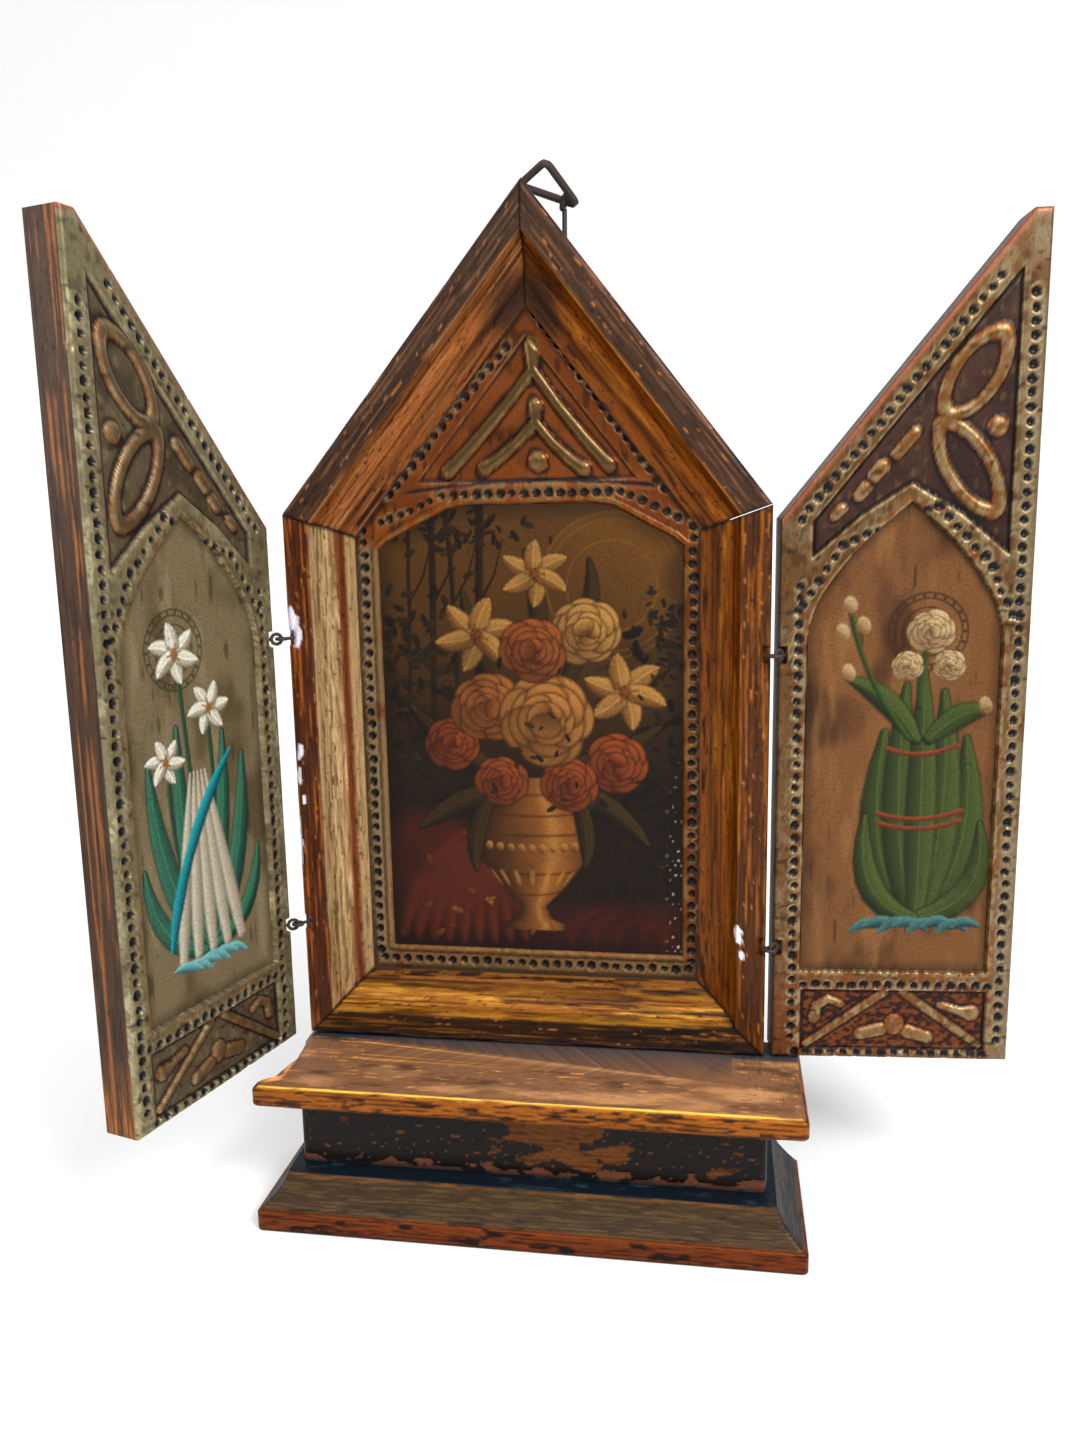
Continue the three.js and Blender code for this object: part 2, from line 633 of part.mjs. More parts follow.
/** The screw eye: a loop round the ring's foot, and a stem that bends into the panel's back. */
function hangerEye() {
  const [x, depth, z] = RING_AXIS_POINT;
  const loop = new THREE.TorusGeometry(HANGER_EYE_RADIUS, HANGER_EYE_WIRE, 8, 18);
  loop.rotateY(Math.PI / 2 + RING_AXIS_TILT_DEG * -RADIANS).translate(x, depth, z);
  const { bend, foot, behind, tip } = HANGER_STEM;
  const path = new THREE.CatmullRomCurve3([
    new THREE.Vector3(x, depth, z - HANGER_EYE_RADIUS),
    new THREE.Vector3(x, behind, bend),
    new THREE.Vector3(x, behind, foot + 2),
    new THREE.Vector3(x, behind - 1.6, foot + 0.2),
    new THREE.Vector3(x, tip, foot),
  ]);
  const section = shapeOf(circle([0, 0, HANGER_EYE_WIRE], 8));
  const stem = new THREE.ExtrudeGeometry(section, { extrudePath: path, steps: 14, bevelEnabled: false });
  return joined([solid(loop), solid(stem)]);
}

/** The hole that takes the stem, open at the panel's back. */
function stemHole() {
  const { foot, tip } = HANGER_STEM;
  const radius = HANGER_EYE_WIRE + 1.5 * GAP;
  const from = tip - GAP;
  const length = PANEL_DEPTH + 2 - from;
  const hole = new THREE.CylinderGeometry(radius, radius, length, 10);
  return hole.translate(RING_AXIS_POINT[0], from + length / 2, foot);
}

// ---- assembly ----------------------------------------------------------------------------

const altarpiece = new THREE.Group();

part('plinth', plinth(), oliveBrown, altarpiece);
part('die', die(), wornDark, altarpiece);
part('shelf_moulding', cornice(), giltOrange, altarpiece);
part('shelf', shelf(), giltBrown, altarpiece);

const panel = new THREE.Group();
panel.position.set(PANEL_X, PANEL_FRONT, 0);
altarpiece.add(panel);

FRAME_NAMES.forEach((name, edge) => {
  let length = solid(frameLength(edge));
  const side = { frame_left: 'left', frame_right: 'right' }[name];
  if (side) {
    const sign = side === 'left' ? -1 : 1;
    const cuts = Object.values(HINGE_HEIGHTS[side]).flatMap((z) => [
      solid(hingeNotch(z)), solid(legHole(panelLegAngle(sign), z, EYE_LEG)),
    ]);
    const axisX = sign * (PANEL_HALF_WIDTH + HINGE_GAP);
    length = length.subtract(joined(cuts).translate([axisX, -HINGE_LEAD, 0]));
  }
  if (name === 'frame_gable_right') length = length.subtract(solid(stemHole()));
  part(name, length, name === 'frame_left' ? giltSilver : giltOrange, panel);
});
part('centre_board', centreBoard(), giltBrown, panel);
part('centre_picture', sheet(archOutline(-GAP), BOARD_FRONT), printBrown, panel);
part('hanger_eye', hangerEye(), iron, panel);

const hanger = new THREE.Group();
hanger.position.set(...RING_AXIS_POINT);
hanger.rotation.y = -RING_AXIS_TILT_DEG * RADIANS;
const leaning = new THREE.Group();
leaning.rotation.x = RING_LEAN_DEG * RADIANS;
part('hanger_ring', hangerRing(), iron, leaning);
hanger.add(leaning);
panel.add(hanger);

[['left', -1, printOlive], ['right', 1, printTan]].forEach(([side, sign, print]) => {
  const hinge = new THREE.Group();
  hinge.position.set(sign * (PANEL_HALF_WIDTH + HINGE_GAP), -HINGE_LEAD, 0);
  panel.add(hinge);
  const leaf = new THREE.Group();
  leaf.rotation.z = -sign * WING_REST_DEG[side] * RADIANS;
  hinge.add(leaf);
  const board = wing(sign, WING_TIP_Z[side], HINGE_HEIGHTS[side]);
  part(`${side}_wing`, board, sign < 0 ? giltSilver : giltBrown, leaf);
  const picture = sheet(mirrored(windowOutline(-GAP), sign), WINDOW_DEPTH);
  part(`${side}_picture`, picture.translate(0, HINGE_LEAD, 0), print, leaf);
  Object.entries(HINGE_HEIGHTS[side]).forEach(([height, z]) => {
    part(`hinge_${side}_${height}_panel`, panelEye(sign, z), iron, hinge);
    part(`hinge_${side}_${height}_wing`, wingEye(sign, z), iron, leaf);
  });
});

export default altarpiece;
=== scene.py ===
import itertools
import json
import math

import bmesh
import bpy
import numpy as np
from mathutils import Matrix, Vector


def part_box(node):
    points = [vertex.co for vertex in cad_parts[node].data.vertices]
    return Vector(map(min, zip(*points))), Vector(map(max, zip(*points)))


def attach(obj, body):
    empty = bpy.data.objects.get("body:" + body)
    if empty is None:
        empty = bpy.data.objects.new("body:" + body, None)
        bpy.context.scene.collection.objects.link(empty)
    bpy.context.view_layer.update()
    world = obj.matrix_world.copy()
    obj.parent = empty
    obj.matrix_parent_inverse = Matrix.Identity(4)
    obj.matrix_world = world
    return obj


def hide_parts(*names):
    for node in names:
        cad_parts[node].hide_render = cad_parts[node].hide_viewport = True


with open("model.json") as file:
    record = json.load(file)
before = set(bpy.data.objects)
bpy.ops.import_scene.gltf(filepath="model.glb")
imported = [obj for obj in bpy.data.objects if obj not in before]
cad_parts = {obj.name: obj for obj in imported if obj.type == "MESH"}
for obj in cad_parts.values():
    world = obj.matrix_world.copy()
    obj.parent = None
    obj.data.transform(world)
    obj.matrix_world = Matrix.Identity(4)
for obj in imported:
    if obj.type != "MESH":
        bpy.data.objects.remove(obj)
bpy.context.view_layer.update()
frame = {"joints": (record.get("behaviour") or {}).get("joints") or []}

MM = 0.001

# ---- camera, floor and lights ------------------------------------------------------------
# The altarpiece stands on a plain pale sweep. The camera stands a little to its right,
# above the middle of the panel, close to it, and looks slightly down and to the left.

CAMERA_PLACE = Vector((56.16, -322.1, 213.8)) * MM
CAMERA_YAW, CAMERA_PITCH, CAMERA_ROLL = (math.radians(a) for a in (8.99, -9.94, -1.03))
CAMERA_LENS = 27.75

ahead = Vector((
    -math.sin(CAMERA_YAW) * math.cos(CAMERA_PITCH),
    math.cos(CAMERA_YAW) * math.cos(CAMERA_PITCH),
    math.sin(CAMERA_PITCH),
))
level = Vector((math.cos(CAMERA_YAW), math.sin(CAMERA_YAW), 0))
upward = level.cross(ahead)
rolled_right = level * math.cos(CAMERA_ROLL) + upward * math.sin(CAMERA_ROLL)
rolled_up = upward * math.cos(CAMERA_ROLL) - level * math.sin(CAMERA_ROLL)
turn = Matrix((rolled_right, rolled_up, -ahead)).transposed()
camera = bpy.data.objects.new("camera", bpy.data.cameras.new("camera"))
camera.data.lens = CAMERA_LENS
camera.data.sensor_width = 36
camera.data.clip_start = 0.01
camera.matrix_world = Matrix.Translation(CAMERA_PLACE) @ turn.to_4x4()
bpy.context.scene.collection.objects.link(camera)
bpy.context.scene.camera = camera


def area_light(name, place, aim, size, watts, colour=(1, 1, 1)):
    """A square soft light at a place in metres, turned to face an aim."""
    lamp = bpy.data.lights.new(name, "AREA")
    lamp.energy, lamp.size, lamp.color = watts, size, colour
    light = bpy.data.objects.new(name, lamp)
    light.location = place
    light.rotation_euler = (Vector(aim) - Vector(place)).to_track_quat("-Z", "Y").to_euler()
    bpy.context.scene.collection.objects.link(light)


area_light("key_light", (0.62, -0.62, 0.8), (0, 0, 0.16), 0.35, 9)
area_light("left_light", (-0.9, -0.5, 0.45), (0, 0, 0.15), 0.5, 4)
sky = bpy.data.lights.new("overhead_light", "SUN")
sky.energy, sky.angle = 2.3, math.radians(75)
overhead = bpy.data.objects.new("overhead_light", sky)
overhead.rotation_euler = (math.radians(38), 0, math.radians(12))
bpy.context.scene.collection.objects.link(overhead)
world = bpy.data.worlds.new("studio")
world.use_nodes = True
world.node_tree.nodes["Background"].inputs["Color"].default_value = (1, 1, 1, 1)
world.node_tree.nodes["Background"].inputs["Strength"].default_value = 0.4
bpy.context.scene.world = world
bpy.context.scene.view_settings.view_transform = "Standard"

SWEEP_WIDTH, SWEEP_FRONT, SWEEP_BACK, SWEEP_BEND, SWEEP_TOP = 5, -2, 1.2, 0.8, 3
sweep_line = [(SWEEP_FRONT, 0)]
sweep_line += [
    (SWEEP_BACK + SWEEP_BEND * math.sin(a), SWEEP_BEND * (1 - math.cos(a)))
    for a in np.linspace(0, math.pi / 2, 25)
]
sweep_line.append((SWEEP_BACK + SWEEP_BEND, SWEEP_TOP))
sweep_mesh = bpy.data.meshes.new("floor")
sweep_points = [(x, y, z) for y, z in sweep_line for x in (-SWEEP_WIDTH, SWEEP_WIDTH)]
sweep_faces = [(2 * i, 2 * i + 1, 2 * i + 3, 2 * i + 2) for i in range(len(sweep_line) - 1)]
sweep_mesh.from_pydata(sweep_points, [], sweep_faces)
sweep_mesh.shade_smooth()
floor = bpy.data.objects.new("floor", sweep_mesh)
bpy.context.scene.collection.objects.link(floor)
floor_finish = bpy.data.materials.new("pale_floor")
floor_finish.use_nodes = True
floor_shader = floor_finish.node_tree.nodes["Principled BSDF"]
floor_shader.inputs["Base Color"].default_value = (0.86, 0.86, 0.86, 1)
floor_shader.inputs["Roughness"].default_value = 0.9
sweep_mesh.materials.append(floor_finish)

# ---- plinth ------------------------------------------------------------------------------
# A length of moulded softwood under the whole object: an upright rim, a cove that runs in
# and up, and a narrow ledge. Gessoed, gilded and toned; the ledge and side coves are painted.

plinth_low, plinth_high = (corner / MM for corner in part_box("plinth"))
RIM_HEIGHT = 6.8
RIM_ARRIS = 0.9
LEDGE_SIDE_INSET = 9
LEDGE_FRONT_INSET = 5.4
COVE_HOLLOW = 0.16
CORNER_ROUNDING = 1.6
GRAIN_STEP = 0.55  # spacing of the points of a finished surface, in millimetres


def tone(code):
    """A colour as linear red, green and blue."""
    channels = np.array([int(code[i:i + 2], 16) / 255 for i in (0, 2, 4)])
    return np.where(channels < 0.04045, channels / 12.92, ((channels + 0.055) / 1.055) ** 2.4)


def ease(start, end, value):
    """Runs smoothly from 0 at start to 1 at end."""
    share = np.clip((value - start) / (end - start), 0, 1)
    return share * share * (3 - 2 * share)


def mottle(points, cell, seed):
    """Smooth noise from 0 to 1 in cells of a size in millimetres, one size or one per axis."""
    scaled = points / np.asarray(cell)
    low = np.floor(scaled).astype(np.int64)
    part = scaled - low
    part = part * part * (3 - 2 * part)
    total = np.zeros(len(points))
    for corner in itertools.product((0, 1), repeat=points.shape[1]):
        key = np.full(len(points), seed * 7919 + 17, dtype=np.int64)
        weight = np.ones(len(points))
        for axis, step in enumerate(corner):
            key = (key * 31 + low[:, axis] + step) * 1103515245 + 12345
            key = (key ^ (key >> 15)) & 0x7FFFFFFF
            weight *= part[:, axis] if step else 1 - part[:, axis]
        total += weight * ((key >> 7) & 0xFFFF) / 65535
    return total


def layered(points, cell, seed, layers=3):
    """Noise in layers, each half the size and strength of the one before, from 0 to 1."""
    total = sum(mottle(points, np.asarray(cell) / 2 ** k,
                       seed + k) / 2 ** k for k in range(layers))
    return total / (2 - 2 ** (1 - layers))


def lay(paint, colour, share):
    """Lays a colour or a colour code over the paint, by a share from 0 to 1 at each point."""
    colour = tone(colour) if isinstance(colour, str) else colour
    return paint + (np.asarray(colour) - paint) * np.clip(share, 0, 1)[:, None]


def even_steps(start, end, step):
    return np.linspace(start, end, max(2, round(abs(end - start) / step) + 1))


def grid_faces(rows, columns, closed=False):
    """Four-sided faces between points numbered row by row."""
    index = np.arange(rows * columns).reshape(rows, columns)
    if closed:
        index = np.hstack([index, index[:, :1]])
    corners = (index[:-1, :-1], index[:-1, 1:], index[1:, 1:], index[1:, :-1])
    return np.stack(corners, axis=-1).reshape(-1, 4).tolist()


def finished_piece(name, points, faces, paint, finish, surface, material, plain=None):
    """A piece from points in millimetres, with its paint, finish and surface map at each point.

    Finish is metal, roughness and texture. Plain lists the faces that form one flat area."""
    mesh = bpy.data.meshes.new(name)
    mesh.from_pydata((points * MM).tolist(), [], faces)
    ones = np.ones((len(points), 1))
    for layer, values in (("paint", paint), ("finish", finish)):
        attribute = mesh.color_attributes.new(layer, "FLOAT_COLOR", "POINT")
        attribute.data.foreach_set("color", np.hstack([values, ones]).astype(np.float32).ravel())
    corner = np.empty(len(mesh.loops), dtype=np.int32)
    mesh.loops.foreach_get("vertex_index", corner)
    uv_map = mesh.uv_layers.new(name="surface")
    uv_map.data.foreach_set("uv", (surface[corner] * MM).astype(np.float32).ravel())
    shell = bmesh.new()
    shell.from_mesh(mesh)
    if plain is not None:
        shell.faces.ensure_lookup_table()
        flat = [shell.faces[i] for i in plain]
        bmesh.ops.dissolve_faces(shell, faces=flat)
    bmesh.ops.recalc_face_normals(shell, faces=shell.faces)
    shell.to_mesh(mesh)
    shell.free()
    mesh.shade_smooth()
    mesh.set_sharp_from_angle(angle=math.radians(48))
    mesh.materials.append(material)
    piece = bpy.data.objects.new(name, mesh)
    bpy.context.scene.collection.objects.link(piece)
    return piece


def node(tree, kind, values=None, **settings):
    """Adds a node, sets its own settings and the values of its named or numbered inputs."""
    made = tree.nodes.new(kind)
    for key, value in settings.items():
        setattr(made, key, value)
    for key, value in (values or {}).items():
        if isinstance(value, bpy.types.NodeSocket):
            tree.links.new(value, made.inputs[key])
        else:
            made.inputs[key].default_value = value
    return made


def mapped(tree, value, low, high, start=0.0, end=1.0):
    """A node output that spreads a value from one range onto another."""
    values = {"Value": value, "From Min": low, "From Max": high, "To Min": start, "To Max": end}
    return node(tree, "ShaderNodeMapRange", values).outputs[0]


def combined(tree, operation, first, second, kind="ShaderNodeMath"):
    """A node output for a sum or product of two values or vectors."""
    return node(tree, kind, {0: first, 1: second}, operation=operation).outputs[0]


def stretched(tree, first, second):
    """A vector multiplied by another, part by part."""
    return combined(tree, "MULTIPLY", first, second, "ShaderNodeVectorMath")


def noise(tree, vector, detail, roughness=0.5, distortion=0.0, scale=1.0):
    """The outputs of a noise texture."""
    values = {"Vector": vector, "Scale": scale, "Detail": detail, "Roughness": roughness,
              "Distortion": distortion}
    return node(tree, "ShaderNodeTexNoise", values).outputs


def grain_group():
    """Fine lengthwise grain, specks and worn pits of leaf and paint laid over wood."""
    tree = bpy.data.node_groups.new("gesso_grain", "ShaderNodeTree")
    for name, way, kind in (("Vector", "INPUT", "Vector"), ("Fineness", "INPUT", "Float"),
                            ("Length", "INPUT", "Float"), ("Tone", "OUTPUT", "Float"),
                            ("Height", "OUTPUT", "Float")):
        tree.interface.new_socket(name, in_out=way, socket_type="NodeSocket" + kind)
    given = tree.nodes.new("NodeGroupInput").outputs
    along = combined(tree, "DIVIDE", given["Fineness"], given["Length"])
    scale = node(tree, "ShaderNodeCombineXYZ", {"X": along, "Y": given["Fineness"], "Z": 1.0})
    drawn = stretched(tree, given["Vector"], scale.outputs[0])
    fibres = noise(tree, drawn, 4.0, 0.65, 0.4)[0]
    specks = noise(tree, stretched(tree, given["Vector"], (1500, 1500, 1500)), 3.0, 0.7)[0]
    both = node(tree, "ShaderNodeMix", {"Factor": 0.4, "A": fibres, "B": specks},
                data_type="FLOAT").outputs[0]
    worn = noise(tree, stretched(tree, drawn, (0.45, 0.3, 1)), 5.0, 0.75, 1.2)[0]
    pits = mapped(tree, worn, 0.36, 0.44)
    flecks = mapped(tree, worn, 0.6, 0.68, end=0.5)
    lit = combined(tree, "ADD", mapped(tree, both, 0.32, 0.68), flecks)
    out = tree.nodes.new("NodeGroupOutput")
    tree.links.new(combined(tree, "MULTIPLY", lit, pits), out.inputs["Tone"])
    tree.links.new(combined(tree, "MULTIPLY", both, pits), out.inputs["Height"])
    return tree


gesso_grain = grain_group()


def gilder_finish(name, fineness, length, contrast, bump, coat=0.05, coat_roughness=0.2):
    """Painted or gilded wood: the laid paint, broken by grain, under a thin uneven varnish."""
    material = bpy.data.materials.new(name)
    material.use_nodes = True
    tree = material.node_tree
    shader = tree.nodes["Principled BSDF"]
    place = node(tree, "ShaderNodeUVMap", uv_map="surface")
    grain = node(tree, "ShaderNodeGroup", node_tree=gesso_grain)
    tree.links.new(place.outputs["UV"], grain.inputs["Vector"])
    grain.inputs["Fineness"].default_value = fineness
    grain.inputs["Length"].default_value = length
    paint = node(tree, "ShaderNodeAttribute", attribute_name="paint")
    finish = node(tree, "ShaderNodeAttribute", attribute_name="finish")
    split = node(tree, "ShaderNodeSeparateColor", {"Color": finish.outputs["Color"]})
    shade = mapped(tree, grain.outputs["Tone"], 0.0, 1.0, 1 - contrast, 1 + contrast)
    tree.links.new(stretched(tree, paint.outputs["Color"], shade), shader.inputs["Base Color"])
    tree.links.new(split.outputs["Red"], shader.inputs["Metallic"])
    rough = mapped(tree, grain.outputs["Tone"], 0.0, 1.0, 0.08, -0.08)
    tree.links.new(combined(tree, "ADD", split.outputs["Green"], rough),
                   shader.inputs["Roughness"])
    height = combined(tree, "MULTIPLY", grain.outputs["Height"], split.outputs["Blue"])
    raised = node(tree, "ShaderNodeBump", {"Height": height, "Strength": 1.0,
                                           "Distance": bump * MM})
    tree.links.new(raised.outputs["Normal"], shader.inputs["Normal"])
    shader.inputs["Specular IOR Level"].default_value = 0.15
    shader.inputs["Coat Weight"].default_value = coat
    shader.inputs["Coat Roughness"].default_value = coat_roughness
    return material


def rounded_corner(x, y, corner_x, corner_y, radius):
    """Draws the points near a square corner in, so that the corner becomes an arc."""
    sign_x, sign_y = np.sign(corner_x), np.sign(corner_y)
    across = np.maximum(radius - (corner_x - x) * sign_x, 0)
    down = np.maximum(radius - (corner_y - y) * sign_y, 0)
    round_length = np.maximum(np.hypot(across, down), 1e-9)
    share = np.where((across > 0) & (down > 0), np.maximum(across, down) / round_length, 1)
    x = np.where(across > 0, corner_x - sign_x * (radius - across * share), x)
    y = np.where(down > 0, corner_y - sign_y * (radius - down * share), y)
    return x, y


def moulded_block(levels, left_end=None):
    """Points round a block with a flat back whose ends and front step in.

    Levels are [z, side inset, front inset] from the underside to the middle of the top. The
    columns run from the left end's back round the front to the right end's back, then home.
    Returns the points, the faces, how far along the perimeter each point is, and its side."""
    half, depth = (plinth_high.x - plinth_low.x) / 2, (plinth_high.y - plinth_low.y) / 2
    ends = even_steps(0, 1, GRAIN_STEP / (2 * depth))
    front = even_steps(0, 1, GRAIN_STEP / (2 * half))[1:]
    back = even_steps(0, 1, 4 / (2 * half))[1:-1]
    rows = []
    for z, side, in_front in levels:
        x_far, y_near = half - side, in_front - depth
        left_y = depth + (y_near - depth) * ends
        left_x = np.full(len(ends), -x_far)
        right_y = left_y[::-1][1:]
        x = np.concatenate([left_x, -x_far + 2 * x_far * front, np.full(len(right_y), x_far),
                            x_far - 2 * x_far * back])
        y = np.concatenate([left_y, np.full(len(front), y_near), right_y, np.full(len(back),
                                                                                  depth)])
        for sign in (-1, 1):
            x, y = rounded_corner(x, y, sign * x_far, y_near, CORNER_ROUNDING)
        if left_end is not None:
            x = left_end(x, y, z, x_far)
        rows.append(np.column_stack([x, y, np.full(len(x), z)]))
    columns = len(rows[0])
    points = np.vstack(rows)
    perimeter = np.concatenate([2 * depth * ends, 2 * depth + 2 * half * front,
                                2 * depth + 2 * half + 2 * depth * ends[1:], back * 0])
    kind = np.concatenate([np.full(len(ends), 0), np.full(len(front), 1), np.full(len(ends) - 1,
                                                                                  2),
                           np.full(len(back), 3)])
    faces = grid_faces(len(rows), columns, closed=True)
    faces.append(list(range(columns))[::-1])
    faces.append([(len(rows) - 1) * columns + i for i in range(columns)])
    around = np.tile(perimeter, len(rows))
    return points, faces, around, np.tile(kind, len(rows))


def dense_levels(corners):
    """Fills in levels between [z, side inset, front inset] corners."""
    levels = [corners[0]]
    for before, after in zip(corners, corners[1:]):
        length = math.dist(before, after)
        for share in even_steps(0, 1, GRAIN_STEP / max(length, GRAIN_STEP))[1:]:
            levels.append([a + (b - a) * share for a, b in zip(before, after)])
    return levels


def run_up(levels):
    """How far each level lies along the profile."""
    steps = [0] + [math.dist(a, b) for a, b in zip(levels, levels[1:])]
    return np.cumsum(steps)


def eased_arris(z, inset_side, inset_front, radius, way, steps=5):
    """Levels round an outer edge at a height, way -1 below and 1 above the face."""
    turns = np.linspace(0, math.pi / 2, steps)
    turns = turns if way > 0 else turns[::-1]
    return [[z - way * radius * (1 - math.sin(a)), inset_side + radius * (1 - math.cos(a)),
             inset_front + radius * (1 - math.cos(a))] for a in turns]


ledge_top = plinth_high.z
plinth_levels = eased_arris(0, 0, 0, RIM_ARRIS, -1)
plinth_levels += eased_arris(RIM_HEIGHT, 0, 0, RIM_ARRIS, 1)
for t in np.linspace(0, 1, 12):
    run = t + COVE_HOLLOW * math.sin(math.pi * t)
    plinth_levels.append([
        RIM_HEIGHT + (ledge_top - RIM_HEIGHT) * t,
        RIM_ARRIS + (LEDGE_SIDE_INSET - RIM_ARRIS) * run,
        RIM_ARRIS + (LEDGE_FRONT_INSET - RIM_ARRIS) * run,
    ])
plinth_levels.append([ledge_top, 14, 14])
plinth_levels = dense_levels(plinth_levels)
points, faces, around, kind = moulded_block(plinth_levels)
up = np.repeat(run_up(plinth_levels), len(points) // len(plinth_levels))
z = points[:, 2]
flow = np.column_stack([around, up])
wave = layered(flow, (18, 6), 3)
points[:, 2] -= np.where((z > 1) & (kind < 3), 0.25 * (wave - 0.4).clip(0), 0)

streak = layered(flow, (9, 0.7), 5)
blotch = layered(flow, (7, 3), 8)
rim = ease(RIM_HEIGHT + 0.5, RIM_HEIGHT - 0.5, z)
paint = np.tile(tone("4a3a22"), (len(points), 1))
paint = lay(paint, "6e5a38", ease(0.45, 0.75, streak))
paint = lay(paint, "201a14", ease(0.55, 0.75, blotch) * ease(11, 7, z))
paint = lay(paint, "8a5f2c", ease(ledge_top - 2.2, ledge_top - 0.6, z) * ease(0.3, 0.6, streak))
paint = lay(paint, "b0620f", rim)
paint = lay(paint, "5c2c0a", rim * ease(0.5, 0.66, streak))
paint = lay(paint, "2a160a", rim * ease(0.6, 0.74, blotch))
paint = lay(paint, "1c0f08", ease(1.5, 0.2, z))
on_side = (kind == 0) | (kind == 2)
side_cove = on_side * ease(RIM_HEIGHT, RIM_HEIGHT + 1.4, z)
paint = lay(paint, "232a3a", side_cove)
paint = lay(paint, "6c5a4c", side_cove * ease(0.55, 0.75, streak))
ledge = ease(ledge_top - 0.3, ledge_top - 0.1, z) * ease(-0.2, 0.6,
                                                         up - up[z < ledge_top - 0.1].max())
paint = lay(paint, "12263a", ledge)
paint = lay(paint, "33506a", ledge * ease(0.62, 0.8, blotch))
paint = lay(paint, "2e1c10", (kind == 3) * 1.0)
paint *= lay(np.tile((0.48, 0.4, 0.34), (len(points), 1)), (0.3, 0.19, 0.11), rim)
metal = 0.15 + 0.3 * rim * (1 - ledge)
finish = np.column_stack([metal * (kind < 3), 0.42 + 0.15 * (1 - rim), 0.8 + 0 * z])
base_finish = gilder_finish("base_gilding", 1900, 9, 0.42, 0.09)
plinth = finished_piece("plinth_moulding", points, faces, paint, finish, flow, base_finish)
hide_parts("plinth")
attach(plinth, "altarpiece")


# ---- die ---------------------------------------------------------------------------------
# The upright block between ledge and shelf. Its black paint has flaked off in patches, down
# to ochre in the middle of the front and to pinkish bole along the foot.

die_low, die_high = (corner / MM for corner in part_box("die"))
DIE_INSET = (die_low.x - plinth_low.x, die_low.y - plinth_low.y)
FLAKE_DEPTH = 0.18
PATCHES = ((9, 25, 1.0), (60, 6, 0.8), (-48, 10, 0.35))  # middle, spread, strength

die_levels = [[die_low.z, *DIE_INSET], [die_high.z, *DIE_INSET]]
die_levels = dense_levels(die_levels)
points, faces, around, kind = moulded_block(die_levels)
x, z = points[:, 0], points[:, 2]
flow = np.column_stack([around, z])
on_front = (kind == 1) * 1.0
above = (z - die_low.z) / (die_high.z - die_low.z)
worn = sum(s * np.exp(-((x - m) / w) ** 2) for m, w, s in PATCHES) * ease(0.02, 0.3, above)
shapes = layered(flow, (11, 5.5), 21, 4)
ochre = on_front * ease(0.0, 0.05, shapes + 0.34 * worn - 0.76)
specks = ease(0.86, 0.9, mottle(flow, 1.3, 25)) * on_front
foot = on_front * ease(0.0, 0.04, layered(flow, (6, 3), 31,
                                          3) - 0.42 - 1.5 * (above - 0.03).clip(0))
bare = np.maximum(np.maximum(ochre, specks * 0.8), foot)
points[:, 1] += FLAKE_DEPTH * bare
paint = np.tile(tone("150e0c"), (len(points), 1))
paint = lay(paint, "2a1a14", ease(0.45, 0.8, layered(flow, (12, 1), 33)))
paint = lay(paint, "9a5f22", ochre)
paint = lay(paint, "6a3c14", ochre * ease(0.5, 0.75, layered(flow, (6, 0.8), 35)))
paint = lay(paint, "a86f52", specks * 0.7)
paint = lay(paint, "92604a", foot * (1 - ochre))
paint = lay(paint, "1b2c44", (kind != 1) * 0.6 + on_front * ease(0.1, 0.0, above) * 0.8)
paint = lay(paint, "5d6f82", ((kind == 0) | (kind == 2)) * ease(0.6, 0.75, shapes) * 0.6)
paint *= (0.33, 0.28, 0.2)
finish = np.column_stack([0.05 + 0.1 * ochre, 0.42 + 0.2 * bare, 0.6 + 0.4 * bare])
die_finish = gilder_finish("flaked_black_paint", 1700, 6, 0.35, 0.05)
die = finished_piece("die_block", points, faces, paint, finish, flow, die_finish)
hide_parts("die")
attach(die, "altarpiece")

# ---- cornice -----------------------------------------------------------------------------
# A small quarter-round strip nailed under the shelf on three sides, gilded orange.

cornice_low, cornice_high = (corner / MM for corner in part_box("shelf_moulding"))
CORNICE_INSET = (6.8, 4.6)
CORNICE_RUN = 2.6

cornice_levels = []
for a in np.linspace(0, math.pi / 2, 8):
    run = CORNICE_RUN * (1 - math.sin(a))
    height = cornice_low.z + (cornice_high.z - cornice_low.z) * (1 - math.cos(a))
    cornice_levels.append([height, CORNICE_INSET[0] + run, CORNICE_INSET[1] + run])
points, faces, around, kind = moulded_block(cornice_levels)
up = np.repeat(run_up(cornice_levels), len(points) // len(cornice_levels))
flow = np.column_stack([around, up])
streak = layered(flow, (14, 0.6), 41)
paint = np.tile(tone("a0560e"), (len(points), 1))
paint = lay(paint, "5a2c0a", ease(0.5, 0.7, streak))
paint = lay(paint, "c9822c", ease(0.62, 0.8, layered(flow, (5, 0.8), 43)))
paint = lay(paint, "2e1c10", (kind == 3) * 1.0)
finish = np.column_stack([0.45 * (kind < 3), np.full(len(points), 0.36), np.full(len(points),
                                                                                 0.7)])
cornice = finished_piece("cornice_strip", points, faces, paint, finish, flow, base_finish)
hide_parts("shelf_moulding")
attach(cornice, "altarpiece")
